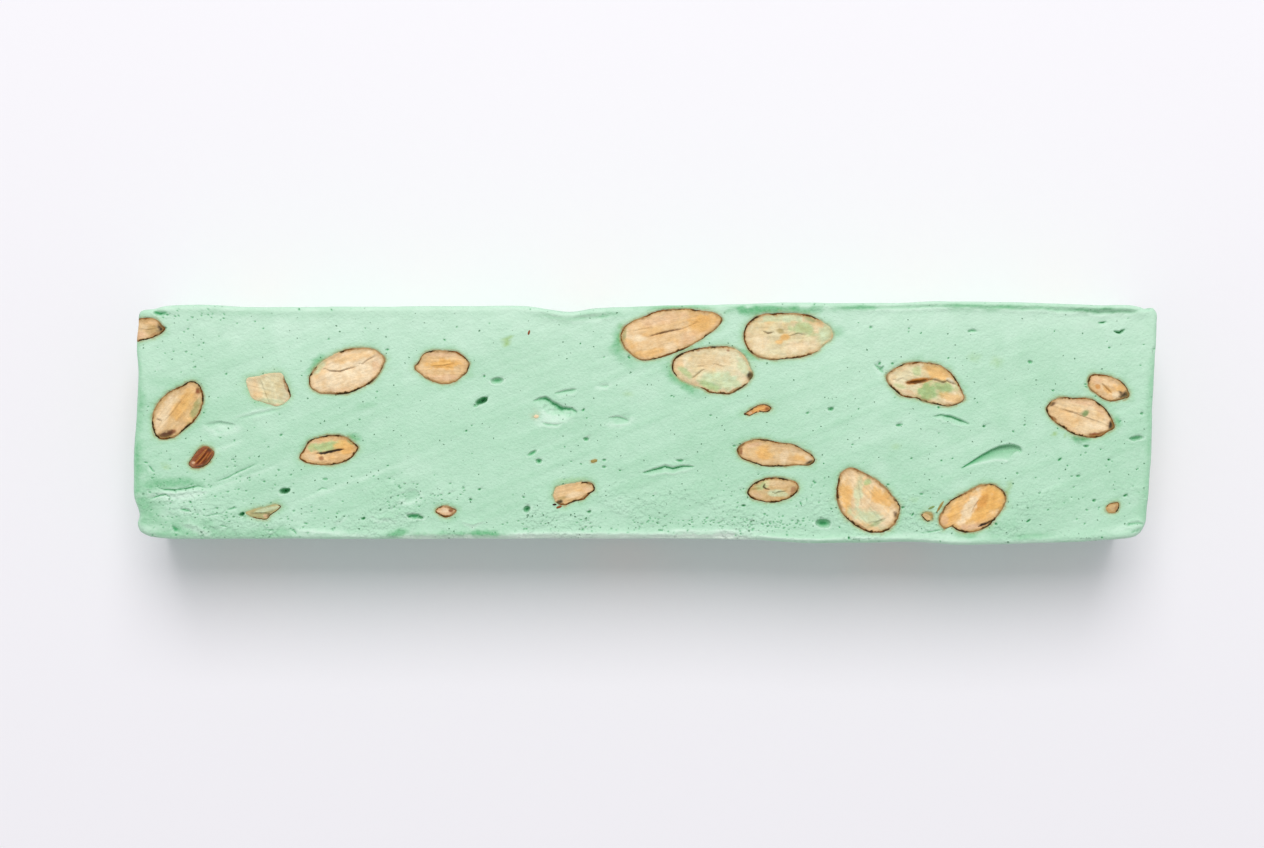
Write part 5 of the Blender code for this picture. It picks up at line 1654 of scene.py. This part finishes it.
@dataclass(frozen=True)
class NougatFinish:
    """Matt mint nougat: painted colour from the piece, fine crumb, pinholes, and painted shade in the
    pinholes and hollows.

    pinhole_sizes holds scale, share of cells and radius; the last size is for the torn crumb alone.
    """

    pale: RGB = (206, 236, 215)
    deep: RGB = (128, 190, 148)
    # pinhole, shade and hollow are painted shade: in the pinholes, in the shallower hollows and in the
    # deepest.
    pinhole: RGB = (70, 146, 94)
    shade: RGB = (74, 168, 108)
    hollow: RGB = (6, 52, 20)
    pinhole_sizes: tuple[tuple[float, float, float], ...] = (
        (1300.0, 0.16, 0.24), (700.0, 0.12, 0.16), (380.0, 0.05, 0.09), (950.0, 0.5, 0.25),
    )

    def material(self, crumb: NodeTree, pinholes: NodeTree) -> Material:
        """Builds the material; the crumb is torn towards the front of the bar, in patches.

        Args:
            crumb, pinholes: the shared shader groups.

        Returns:
            The material.
        """
        made, sheet, shader = new_material("mint_nougat")
        grains = sheet.group(crumb, Coarse=420.0, Fine=1900.0).outputs
        paint = sheet.node("ShaderNodeAttribute", attribute_name="paint").outputs
        deep = sheet.math("MULTIPLY", grains["Mottle"], 0.10)
        colour = sheet.blend(deep, paint["Color"], rgba(self.deep))
        colour = sheet.blend(sheet.math("MULTIPLY", grains["Speck"], 0.18), colour, rgba(self.pale))
        holes = []
        for scale, share, radius in self.pinhole_sizes:
            holes.append(sheet.group(pinholes, Scale=scale, Share=share, Radius=radius).outputs["Mask"])
        place = sheet.place()
        axes = sheet.node("ShaderNodeSeparateXYZ")
        sheet.feed(axes.inputs[0], place)
        torn = sheet.math("MULTIPLY", sheet.spread(axes.outputs[1], -0.009, -0.017),
                          sheet.spread(sheet.noise(place, 85.0), 0.44, 0.60, 0.1, 0.9))
        pin = sheet.math("MULTIPLY", torn, holes.pop())
        for hole in holes:
            pin = sheet.math("MAXIMUM", pin, hole)
        # Painted shade in the pinholes.
        colour = sheet.blend(sheet.math("MULTIPLY", pin, 0.75), colour, rgba(self.pinhole))
        # The paint's alpha is the painted shade of pits and creases: mid green first, near black where
        # deepest.
        dark = paint["Alpha"]
        colour = sheet.blend(sheet.math("MULTIPLY", dark, 2.0, clamp=True), colour, rgba(self.shade))
        colour = sheet.blend(sheet.spread(dark, 0.4, 1.0), colour, rgba(self.hollow))
        sheet.feed(shader["Base Color"], colour)
        sheet.feed(shader["Roughness"], sheet.spread(grains["Mottle"], 0.0, 1.0, 0.50, 0.62))
        sheet.feed(shader["Specular IOR Level"], 0.3)
        crumbled = sheet.math("MULTIPLY", torn, sheet.noise(place, 1200.0, 1.0))
        height = sheet.math("MULTIPLY_ADD", crumbled, 2.8, grains["Height"])
        height = sheet.math("MULTIPLY_ADD", pin, -1.6, height)
        sheet.feed(shader["Normal"], sheet.bump(height, 0.9, 0.0002))
        return made


@dataclass(frozen=True)
class AlmondFinish:
    """Cut almond: flesh painted in the piece's attribute, with a ragged line of brown skin round it.

    shadow and light are the factors that its darker and lighter crumbs multiply the flesh by.
    """

    shadow: tuple[float, float, float, float] = (0.91, 0.84, 0.76, 1.0)
    light: tuple[float, float, float, float] = (1.12, 1.12, 1.12, 1.0)
    skin: RGB = (60, 42, 14)
    red_skin: RGB = (126, 78, 32)
    inner_skin: RGB = (182, 138, 78)
    line: float = 0.27

    def material(self, crumb: NodeTree) -> Material:
        """Builds the material; the skin's line wanders by three sizes of noise.

        Args:
            crumb: the shared shader group.

        Returns:
            The material.
        """
        made, sheet, shader = new_material("cut_almond")
        grains = sheet.group(crumb, Coarse=900.0, Fine=3600.0).outputs
        flesh = sheet.node("ShaderNodeAttribute", attribute_name="flesh").outputs
        place = sheet.place()
        depth = flesh["Alpha"]
        for scale, amount in ((260.0, 0.36), (1000.0, 0.50), (2600.0, 0.34)):
            part = sheet.math("SUBTRACT", sheet.noise(place, scale, 1.0), 0.5)
            depth = sheet.math("MULTIPLY_ADD", part, amount, depth)
        colour = sheet.blend(grains["Mottle"], flesh["Color"], self.shadow, "MULTIPLY")
        colour = sheet.blend(grains["Speck"], colour, self.light, "MULTIPLY")
        near = sheet.spread(depth, self.line * 2.4, self.line, 0.0, 0.55)
        colour = sheet.blend(near, colour, rgba(self.inner_skin))
        skin = sheet.spread(depth, self.line * 1.4, self.line * 0.75)
        skin = sheet.math("MULTIPLY", skin, sheet.spread(sheet.noise(place, 300.0), 0.38, 0.54, 0.38, 1.0))
        redder = sheet.spread(sheet.noise(place, 500.0), 0.40, 0.62)
        colour = sheet.blend(skin, colour, sheet.blend(redder, rgba(self.skin), rgba(self.red_skin)))
        sheet.feed(shader["Base Color"], colour)
        sheet.feed(shader["Roughness"], sheet.spread(grains["Mottle"], 0.0, 1.0, 0.42, 0.58))
        sheet.feed(shader["Specular IOR Level"], sheet.spread(skin, 0.0, 1.0, 0.28, 0.05))
        height = sheet.math("MULTIPLY_ADD", skin, -1.0, grains["Height"])
        sheet.feed(shader["Normal"], sheet.bump(height, 0.7, 0.00013))
        return made


# ---- pieces


def settle_piece(name: str, mesh: Mesh, look: Material, slot: Slot, *nodes: str) -> Object:
    """Makes a piece and reports it.

    Args:
        name: its name.
        mesh: its mesh.
        look: its material.
        slot: the slot of the record listed for it; not used.
        nodes: the nodes that it replaces.

    Returns:
        The object.
    """
    mesh.materials.clear()
    mesh.materials.append(look)
    piece = placed(name, mesh)
    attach(piece, "root")
    if nodes:
        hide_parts(*nodes)
    LOG.info("%s: %d faces", name, len(mesh.polygons))
    return piece


@dataclass
class AlmondSet:
    """All cut kernels: how finely they are gridded on the top and elsewhere, and what they look like."""

    bar: BarShape
    look: Material
    around: int = 176
    across: int = 40
    around_plain: int = 112
    across_plain: int = 22
    under: int = 10
    sharp: float = 55.0
    slab_heights: tuple[float, float] = (14.0, 26.0)
    slab_depths: tuple[float, float] = (14.0, 23.0)
    slab_thickness: float = 9.0
    slab_steps: int = 40
    kernels: list[Kernel] = field(default_factory=list)

    def gather(self) -> None:
        """Lists every kernel, with made-up marks on those of the faces that are not the top."""
        for spec in TOP_KERNELS:
            self.kernels.append(Kernel(Face.TOP, spec, np.array(spec.outline)))
        rng = np.random.default_rng(SEED + 40)
        for face, places in OTHER_KERNELS.items():
            for number, (along, up, length, width, turn, depth) in enumerate(places, start=1):
                middle = np.array([along, -up if face is Face.BASE else up])
                outline = self.almond_outline(length, width, turn, rng) + middle
                marks = self.marks(middle, length, width, turn, rng)
                spec = CutKernel(f"{face.value}_almond_{number}", (), depth, *marks)
                self.kernels.append(Kernel(face, spec, outline))

    @staticmethod
    def almond_outline(length: float, width: float, turn: float, rng: np.random.Generator) -> Array:
        """Almond section: an ellipse drawn out to a point at +x, blunt at -x, uneven.

        Args:
            length, width: its size.
            turn: degrees.
            rng: where the draws come from.

        Returns:
            (16, 2) points round it, turned.
        """
        angle = np.linspace(0.0, FULL_TURN, 16, endpoint=False)
        wobble = 1.0 + 0.03 * rng.normal(size=16).clip(-1.5, 1.5)
        along = length / 2.0 * np.cos(angle) * wobble
        across = width / 2.0 * np.sin(angle) * (1.0 - 0.22 * np.cos(angle)) * wobble
        return pair(*turned(along, across, -turn))

    @staticmethod
    def marks(middle: Array, length: float, width: float, turn: float,
              rng: np.random.Generator) -> tuple[Tone, tuple[Patch, ...], tuple[Crease, ...]]:
        """Draws the looks of one kernel at random.

        Args:
            middle: its place in the face.
            length, width, turn: its size and turn.
            rng: where the draws come from.

        Returns:
            Its tone, its patches, and the seam between its halves, with painted shade along it.
        """

        def spot(along: float, across: float) -> tuple[float, float]:
            """A place given as shares of the kernel's half length and half width."""
            a, b = turned(np.array(along * length / 2.0), np.array(across * width / 2.0), -turn)
            return float(middle[0] + a), float(middle[1] + b)

        tone = (Tone.TAN, Tone.WHEAT, Tone.CREAM)[int(rng.integers(3))]
        choices = (Tone.AMBER, Tone.CREAM, Tone.PALE_GREEN, Tone.BLUSH)
        patches = []
        for along, across in ((0.45, 0.25), (-0.4, -0.3), (0.1, 0.45), (-0.1, -0.5)):
            u, v = spot(along + rng.normal(0, 0.1), across + rng.normal(0, 0.1))
            pick = choices[int(rng.integers(4))]
            strength = float(rng.uniform(0.4, 0.9))
            patches.append(Patch(pick, u, v, length * 0.2, width * 0.16, turn, strength))
        bend = rng.normal(0, 0.08, 4)
        seam = tuple(spot(along, float(b)) for along, b in zip((-0.45, -0.12, 0.2, 0.5), bend))
        return tone, tuple(patches), (Crease(seam, 0.36, 0.3, float(rng.uniform(0.3, 0.6))),)

    def body(self, kernel: Kernel) -> tuple[Array, Array, Array, Array, Array, Array]:
        """Grid of one kernel: rings of its cut face from the middle out, then rings down its body.

        On the face, ring k lies at share q_k of the outline's radius and at the bar's own surface plus
        the kernel's relief; below it, share cos(t) at depth sin(t) times the kernel's depth.

        Args:
            kernel: the kernel.

        Returns:
            World points, quads, triangles, and u, v and sink of each point.
        """
        top = kernel.face is Face.TOP
        around = self.around if top else self.around_plain
        across = self.across if top else self.across_plain
        angle = np.linspace(-math.pi, math.pi, around, endpoint=False)
        reach = np.interp(angle, kernel.angles, kernel.reaches, period=FULL_TURN)
        steps = np.linspace(0.0, 1.0, across)
        share = np.concatenate([[0.0], 1.0 - (1.0 - steps[1:]) ** 1.5])
        sweep = np.linspace(0.0, math.pi / 2.0, self.under + 1)[1:]
        rings = np.concatenate([share[1:], np.cos(sweep[:-1])])
        u = kernel.centre[0] + rings[:, None] * reach * np.cos(angle)
        v = kernel.centre[1] + rings[:, None] * reach * np.sin(angle)
        w = self.surface(kernel.face, u, v) + kernel.relief(u, v)
        rim = w[across - 2]
        for row, t in enumerate(sweep[:-1], start=across - 1):
            w[row] = np.minimum(rim - 0.12 - 0.05 * (row - across + 1), -kernel.spec.depth * math.sin(t))
        cu, cv = kernel.centre[:, None]
        crown = self.surface(kernel.face, cu, cv) + kernel.relief(cu, cv)
        keel = min(-kernel.spec.depth, float(rim.min()) - 0.8)
        u = np.concatenate([cu, u.ravel(), cu])
        v = np.concatenate([cv, v.ravel(), cv])
        w = np.concatenate([crown, w.ravel(), [keel]])
        if kernel.face is Face.BASE:
            w = np.minimum(w, 0.0)
        index = 1 + np.arange(len(rings) * around).reshape(len(rings), around)
        points = PLANES[kernel.face].world(u, v, w)
        return points, tube_quads(index), end_fans(index, 0, len(u) - 1), u, v, np.maximum(0.0, -w)

    def surface(self, face: Face, u: Array, v: Array) -> Array:
        """The bar's own surface over a face's plane, lumps included."""
        rise = self.bar.rise(face, u, v)
        return rise + self.bar.lumps(PLANES[face].world(u, v, rise))

    def build(self) -> None:
        """Makes every kernel's piece."""
        for kernel in self.kernels:
            points, quads, triangles, u, v, sink = self.body(kernel)
            mesh = mesh_from(f"cut_{kernel.name}", points, quads, triangles)
            if kernel.name == "almond_01":
                mesh = self.cut_at_end(mesh)
                points = vertex_values(mesh, "co") / MM
                u, v, w = PLANES[kernel.face].local(points)
                sink = np.maximum(0.0, -w)
            write_colour(mesh, "flesh", kernel.colours(u, v, sink))
            mesh.set_sharp_from_angle(angle=math.radians(self.sharp))
            settle_piece(f"cut_{kernel.name}", mesh, self.look, kernel.spec.slot, kernel.name)

    def cut_at_end(self, mesh: Mesh) -> Mesh:
        """Cuts a kernel off at the bar's left end, with an exact Boolean against a slab.

        Args:
            mesh: the whole kernel.

        Returns:
            The part inside the bar.
        """
        heights = np.linspace(*self.slab_heights, self.slab_steps)
        z, y = np.meshgrid(heights, np.linspace(*self.slab_depths, self.slab_steps), indexing="ij")
        rise = self.surface(Face.LEFT, -y, np.clip(z, 0.0, HEIGHT)) + 0.02
        near = PLANES[Face.LEFT].world(-y, z, rise)
        far = near - np.array([self.slab_thickness, 0.0, 0.0])
        count = near.shape[0] * near.shape[1]
        index = np.arange(count).reshape(near.shape[:2])
        front = sheet_quads(index)[:, [0, 3, 2, 1]]
        ring = np.concatenate([index[0, :-1], index[:-1, -1], index[-1, :0:-1], index[:0:-1, 0]])
        after = np.roll(ring, -1)
        walls = np.column_stack([ring, ring + count, after + count, after])
        quads = np.vstack([front, front[:, ::-1] + count, walls])
        points = np.vstack([near.reshape(-1, 3), far.reshape(-1, 3)])
        slab = placed("end_slab", mesh_from("end_slab", points, quads))
        piece = placed("kernel_to_cut", mesh)
        cut = piece.modifiers.new("end", "BOOLEAN")
        cut.object, cut.operation, cut.solver = slab, "DIFFERENCE", "EXACT"
        result = applied(piece)
        bpy.data.objects.remove(slab, do_unlink=True)
        return result


@dataclass
class NougatBody:
    """The block of nougat: a closed lattice over all six faces with relief, pockets and pores."""

    bar: BarShape
    look: Material
    kernels: list[Kernel]
    pitch: float = 0.16
    pitch_fine: float = 0.1
    pitch_plain: float = 0.2
    overlap: float = 0.22
    overlap_wall: float = 0.5
    wall_rows: int = 72
    pocket_inset: float = 2.5
    pocket_depth: float = 6.0
    ring_density: Path = ((0.0, 1.0), (2.0, 1.0), (4.0, 0.5), (22.0, 0.5), (24.4, 0.9), (25.0, 1.0))
    faces_kept: int = 196000
    fields: dict[Face, FaceField] = field(default_factory=dict)

    def lay_fields(self) -> None:
        """Lays out the relief of each face: streaks of the knife, pores, pits, creases and pockets."""
        rng = np.random.default_rng(SEED + 60)
        for face in Face:
            level = face in (Face.TOP, Face.BASE)
            half = (25.5 if face in (Face.LEFT, Face.RIGHT) else 104.0, 26.0 if level else 13.5)
            pitch = self.pitch_fine if face is Face.TOP else self.pitch_plain
            self.fields[face] = FaceField(half, 0.0 if level else HEIGHT / 2.0, pitch)
        for face, field_ in self.fields.items():
            u, v = np.meshgrid(field_.u, field_.v, indexing="ij")
            places = pair(u, v)
            ruled = pair(*turned(u, v, 22.0 if face is Face.TOP else 4.0))
            streak = grain(ruled, (18.0, 1.1), SEED + 61)
            field_.height += (0.036 if face is Face.TOP else 0.016) * streak
            if face is Face.TOP:
                field_.height += 0.026 * grain(ruled, (5.0, 0.9), SEED + 62)
                worn = ease(-13.0, -19.0, v) * ease(-0.5, 0.5, grain(places, 9.0, SEED + 66) - 0.012 * u)
                field_.height += 0.06 * worn * ragged(places, 1.1, SEED + 67)
            field_.tint(WHOLE, Tone.DEEP_MINT, 0.13 * np.clip(streak, 0.0, 1.0))
            field_.tint(WHOLE, Tone.PALE_MINT, 0.10 * np.clip(-streak, 0.0, 1.0))
            field_.tint(WHOLE, Tone.DEEP_MINT, 0.12 * ease(-0.1, 0.9, ragged(places, 13.0, SEED + 63)))
            field_.tint(WHOLE, Tone.PALE_MINT, 0.22 * ease(0.1, 0.9, ragged(places, 9.0, SEED + 65)))
            area = np.ptp(field_.u) * np.ptp(field_.v)
            field_.pores(int(area * (0.016 if face is Face.TOP else 0.024)), rng, 0.25)
            if face is Face.TOP:
                # Paler all over the top, and more so towards its back: that gradient is painted light, the
                # back being nearer the lamp.
                field_.tint(WHOLE, Tone.PALE_MINT, 0.06 + 0.26 * ease(-2.0, 20.0, v))
        self.mark_top(rng)
        for kernel in self.kernels:
            level = kernel.face in (Face.TOP, Face.BASE)
            self.fields[kernel.face].seat(kernel, self.overlap if level else self.overlap_wall)
        self.open_end(self.kernels[0])

    def open_end(self, kernel: Kernel) -> None:
        """Sinks the left end where the kernel that it cuts comes out.

        Args:
            kernel: that kernel.
        """
        end = self.fields[Face.LEFT]
        u, v = np.meshgrid(end.u, end.v, indexing="ij")
        inside = kernel.under_skin(np.full(u.shape, -HALF_LENGTH), -u, np.maximum(HEIGHT - v, 0.0))
        end.height[inside > self.overlap_wall] = -1.2

    def mark_top(self, rng: np.random.Generator) -> None:
        """Adds the bands, stains, pits, creases and rows of small pits of the top face, painted light and
        painted shade among them, and a pale grey band on the front wall.

        Args:
            rng: where the draws come from.
        """
        top = self.fields[Face.TOP]
        for hem in HEMS:
            top.hem(hem, self.bar)
        for patch in TOP_STAINS:
            top.smear(patch)
        for pit in TOP_PITS:
            top.pit(pit)
        for crease in TOP_CREASES:
            top.crease(crease)
        for low, high, middle, spread, count in PIT_ROWS:
            for u, v in zip(rng.uniform(low, high, count), rng.normal(middle, spread, count)):
                radius = float(rng.uniform(0.08, 0.19))
                turn = float(rng.normal(10.0, 20.0))
                top.pit(Pit(u, v, radius * 3.4, radius * 1.8, radius * 1.6, turn, 0.5, 0.05))
        # A pale grey band along the top of the front wall, strongest from x -50 to 22.
        front = self.fields[Face.FRONT]
        band = ease(22.6, 24.2, np.broadcast_to(front.v, front.height.shape))
        along = np.broadcast_to(front.u[:, None], front.height.shape)
        band = band * (0.2 + 0.75 * ease(-52.0, -46.0, along) * ease(26.0, 20.0, along))
        front.tint(WHOLE, Tone.PALE_GREY, band)

    def lattice(self) -> tuple[Array, Array]:
        """Points and quads of the smooth closed surface.

        The top and underside are Coons patches of their own rings: P = sum of the two straight blends
        of opposite sides minus the blend of the corners. Between them rings follow the section.

        Returns:
            (n, 3) points in mm and (q, 4) vertex numbers.
        """
        across = int(round(2.0 * HALF_LENGTH / self.pitch))
        deep = int(round(2.0 * HALF_WIDTH / self.pitch))
        steps = {Face.FRONT: across, Face.RIGHT: deep, Face.BACK: across, Face.LEFT: deep}
        edge = np.vstack([even_steps(self.bar.sides[side], steps[side] + 1)[:-1] for side in AROUND])
        station = even_steps(self.bar.section[:, [1, 0, 2, 3]], 900)[:, [1, 0, 2, 3]]
        below = HEIGHT - station[:, 0]
        dense = np.interp(below, *np.array(self.ring_density).T)
        run = np.concatenate([[0.0], np.cumsum(dense[1:] * np.hypot(*np.diff(station[:, :2], axis=0).T))])
        picks = np.interp(np.linspace(0.0, run[-1], self.wall_rows), run, np.arange(len(station)))
        rows = np.stack([np.interp(picks, np.arange(len(station)), column) for column in station.T], axis=1)
        rings = [self.bar.ring(row, edge) for row in rows]
        count = len(edge)
        corners = [0, across, across + deep, 2 * across + deep]
        top, top_index = self.patch(rings[0], corners, across, deep)
        base, base_index = self.patch(rings[-1], corners, across, deep)
        middle = np.vstack(rings[1:-1])
        points = np.vstack([top, base, middle])
        border = self.border(across, deep)
        rows_index = [top_index[border[:, 0], border[:, 1]]]
        rows_index += [len(top) * 2 + k * count + np.arange(count) for k in range(len(rings) - 2)]
        rows_index.append(len(top) + base_index[border[:, 0], border[:, 1]])
        lid = sheet_quads(top_index)
        return points, np.vstack([lid, lid[:, ::-1] + len(top), tube_quads(np.array(rows_index))])

    @staticmethod
    def border(across: int, deep: int) -> Array:
        """Walks a patch's border like the edge outline.

        Args:
            across, deep: steps along x and y.

        Returns:
            (n, 2) places on its grid.
        """
        i, j = np.arange(across), np.arange(deep)
        return np.vstack([
            np.column_stack([i, 0 * i]), np.column_stack([0 * j + across, j]),
            np.column_stack([across - i, 0 * i + deep]), np.column_stack([0 * j, deep - j]),
        ])

    @staticmethod
    def patch(ring: Array, corners: list[int], across: int, deep: int) -> tuple[Array, Array]:
        """Fills a closed ring with a Coons patch.

        Args:
            ring: (n, 3) points of the ring.
            corners: the places of its four corners.
            across, deep: steps along x and y.

        Returns:
            The points, and their numbers on the (across + 1, deep + 1) grid.
        """
        loop = np.vstack([ring, ring[:1]])
        a, b, c, d = corners
        front, right = loop[a : b + 1], loop[b : c + 1]
        back, left = loop[c : d + 1][::-1], loop[d : len(loop)][::-1]
        s = np.linspace(0.0, 1.0, across + 1)[:, None, None]
        t = np.linspace(0.0, 1.0, deep + 1)[None, :, None]
        sheet = (1 - t) * front[:, None] + t * back[:, None] + (1 - s) * left[None] + s * right[None]
        near = (1 - s) * (1 - t) * front[0] + s * (1 - t) * front[-1]
        sheet -= near + (1 - s) * t * back[0] + s * t * back[-1]
        index = np.arange((across + 1) * (deep + 1)).reshape(across + 1, deep + 1)
        return sheet.reshape(-1, 3), index

    def build(self) -> None:
        """Makes the block: smooth lattice, relief along the normals, then thinned and painted with stains,
        painted light and painted shade.
        """
        points, quads = self.lattice()
        mesh = mesh_from("nougat_block", points, quads)
        normals = vertex_values(mesh, "normal")
        moved = points + normals * self.bar.lumps(points)[:, None]
        for face, field_ in self.fields.items():
            plane = PLANES[face]
            facing = ease(0.30, 0.75, plane.out(normals))
            touched = facing > 0.0
            u, v, _ = plane.local(points[touched])
            push = field_.sample(field_.height, u, v) * facing[touched]
            axis, sign = plane.w
            moved[touched, axis] += sign * push
        moved[:, 2] = np.maximum(moved[:, 2], 0.0)
        mesh.vertices.foreach_set("co", (moved * MM).astype(np.float32).ravel())
        mesh.update()
        LOG.info("nougat_block before thinning: %d faces", len(mesh.polygons))
        mesh = self.thinned(mesh)
        painted = self.paint(vertex_values(mesh, "co") / MM, vertex_values(mesh, "normal"))
        write_colour(mesh, "paint", painted)
        settle_piece("nougat_block", mesh, self.look, Slot.NOUGAT, "nougat")

    def thinned(self, mesh: Mesh) -> Mesh:
        """Collapses a mesh where it is flattest to the wanted number of triangles.

        Args:
            mesh: the dense mesh.

        Returns:
            The thinned mesh.
        """
        piece = placed("block_to_thin", mesh)
        piece.modifiers.new("thin", "DECIMATE").ratio = self.faces_kept / (2.0 * len(mesh.polygons))
        return applied(piece)

    def paint(self, points: Array, normals: Array) -> Array:
        """Colour and painted shade of the hollows, blended from the faces that each point looks out of.

        Points in the pockets and pits of the top face take the top's whichever way they look.

        Args:
            points: (n, 3) places in mm.
            normals: their normals.

        Returns:
            (n, 4) linear colour and painted shade of the hollows.
        """
        total = np.zeros((len(points), 4))
        weights = np.full(len(points), 1e-6)
        for face, field_ in self.fields.items():
            plane = PLANES[face]
            weight = ease(0.15, 0.65, plane.out(normals))
            u, v, w = plane.local(points)
            if face is Face.TOP:
                inside = (np.abs(u) < HALF_LENGTH - self.pocket_inset) & (w > -self.pocket_depth)
                inside &= np.abs(v) < HALF_WIDTH - self.pocket_inset
                weight = np.maximum(weight, inside)
            hollow = field_.sample(field_.hollow, u, v)
            both = np.column_stack([field_.sample(field_.colour, u, v), hollow])
            total += both * weight[:, None]
            weights += weight
        return total / weights[:, None]


@dataclass
class CrumbSpecks:
    """Tiny almond crumbs caught in the top face: place, half length, half width, turn and tone."""

    bar: BarShape
    look: Material
    places: tuple[tuple[float, float, float, float, float, Tone], ...] = (
        (-23.2, 18.2, 0.5, 0.22, 75.0, Tone.RUST), (-21.7, 1.4, 0.45, 0.38, 20.0, Tone.CREAM),
        (-10.2, -7.5, 0.7, 0.35, 10.0, Tone.OLIVE), (57.3, -16.8, 0.7, 0.22, 25.0, Tone.MOSS),
        (59.0, -16.6, 1.3, 0.22, 58.0, Tone.OLIVE), (-17.2, -16.7, 0.6, 0.25, 20.0, Tone.RUST),
        (-18.1, -16.2, 0.4, 0.2, 5.0, Tone.UMBER), (20.0, 1.9, 0.25, 0.2, 0.0, Tone.BARK),
    )

    def build(self) -> None:
        """Makes all crumbs as one piece of small closed lumps, half sunk in the nougat."""
        around, rows = 20, 8
        angle = np.linspace(0.0, FULL_TURN, around, endpoint=False)
        sweep = np.linspace(0.0, math.pi, rows + 2)[1:-1]
        points, quads, triangles, paint = [], [], [], []
        for number, (x, y, length, width, turn, tone) in enumerate(self.places):
            grid = pair(*np.meshgrid(sweep, angle * 2.0, indexing="ij"))
            bumps = 1.0 + 0.14 * grain(grid, 1.1, SEED + number)
            ring = np.sin(sweep)[:, None] * bumps
            a, b = turned(ring * np.cos(angle) * length, ring * np.sin(angle) * width, -turn)
            rise = float(self.bar.rise(Face.TOP, np.array([x]), np.array([y]))[0])
            base = HEIGHT + rise + float(self.bar.lumps(np.array([[x, y, HEIGHT]]))[0])
            z = base + 0.10 * np.cos(sweep)[:, None] * np.ones(around)
            body = np.stack([x + a, y + b, z], axis=-1).reshape(-1, 3)
            ends = np.array([[x, y, base + 0.10], [x, y, base - 0.10]])
            start = sum(len(p) for p in points)
            index = start + 1 + np.arange(rows * around).reshape(rows, around)
            quads.append(tube_quads(index))
            triangles.append(end_fans(index, start, start + rows * around + 1))
            points.append(np.vstack([ends[:1], body, ends[1:]]))
            colour = np.broadcast_to(linear(tone.value), (rows * around + 2, 3))
            paint.append(np.concatenate([colour, np.full((rows * around + 2, 1), 2.0)], axis=1))
        mesh = mesh_from("almond_crumbs", np.vstack(points), np.vstack(quads), np.vstack(triangles))
        write_colour(mesh, "flesh", np.vstack(paint))
        settle_piece("almond_crumbs", mesh, self.look, Slot.TOASTED)


# ---- studio


@dataclass(frozen=True)
class Studio:
    """White table, one soft window of light behind the bar, even fill, and the camera above.

    floor_half, light_distance and light_size are metres; floor_drop and the camera's place are mm.
    """

    floor_half: float = 2.0
    floor_drop: float = 0.02
    floor_colour: tuple[float, float, float] = (0.908, 0.888, 0.936)
    light_elevation: float = 56.0
    light_distance: float = 1.3
    light_size: tuple[float, float] = (0.80, 0.84)
    light_power: float = 11.4
    fill: float = 0.53
    camera_place: tuple[float, float] = (-2.6, -0.1)
    camera_height: float = HEIGHT + 386.0
    lens: float = 55.0

    def build(self) -> None:
        """Sets the table, lights and camera."""
        scene = bpy.context.scene
        scene.view_settings.view_transform = "Standard"
        half = self.floor_half / MM
        corners = np.array([[-half, -half], [half, -half], [half, half], [-half, half]])
        corners = np.column_stack([corners, np.full(4, -self.floor_drop)])
        table = placed("table", mesh_from("table", corners, np.array([[0, 1, 2, 3]])))
        table.data.materials.append(self.table_material())
        window = bpy.data.lights.new("window", "AREA")
        window.shape, window.size, window.size_y = "RECTANGLE", *self.light_size
        window.energy = self.light_power
        window.color = (1.0, 0.985, 0.965)
        lamp = placed("window", window)
        rise = math.radians(self.light_elevation)
        lamp.location = (0.0, self.light_distance * math.cos(rise), self.light_distance * math.sin(rise))
        lamp.rotation_euler = (rise - math.pi / 2.0, 0.0, 0.0)
        world = bpy.data.worlds.new("fill")
        world.use_nodes = True
        background = world.node_tree.nodes["Background"]
        background.inputs["Color"].default_value = (0.97, 0.985, 1.0, 1.0)
        background.inputs["Strength"].default_value = self.fill
        scene.world = world
        camera = bpy.data.cameras.new("camera")
        camera.lens, camera.sensor_width = self.lens, 36.0
        camera.clip_start, camera.clip_end = 0.01, 20.0
        eye = placed("camera", camera)
        eye.location = (self.camera_place[0] * MM, self.camera_place[1] * MM, self.camera_height * MM)
        scene.camera = eye

    def table_material(self) -> Material:
        """Matt white table top with the faintest unevenness.

        Returns:
            The material.
        """
        made, sheet, shader = new_material("white_table")
        haze = sheet.spread(sheet.noise(sheet.place(), 6.0), 0.3, 0.7, 0.0, 0.25)
        shaded = (*(0.985 * c for c in self.floor_colour), 1.0)
        sheet.feed(shader["Base Color"], sheet.blend(haze, (*self.floor_colour, 1.0), shaded))
        sheet.feed(shader["Roughness"], 0.8)
        sheet.feed(shader["Specular IOR Level"], 0.1)
        return made


def main() -> None:
    """Builds the bar, its kernels and the studio, and notes the sizes."""
    logging.basicConfig(level=logging.INFO, format="%(name)s %(message)s")
    crumb = crumb_group()
    bar = BarShape()
    flesh = AlmondFinish().material(crumb)
    almonds = AlmondSet(bar, flesh)
    almonds.gather()
    almonds.build()
    body = NougatBody(bar, NougatFinish().material(crumb, pinhole_group()), almonds.kernels)
    body.lay_fields()
    body.build()
    CrumbSpecks(bar, flesh).build()
    Studio().build()


if __name__ == "__main__":
    main()
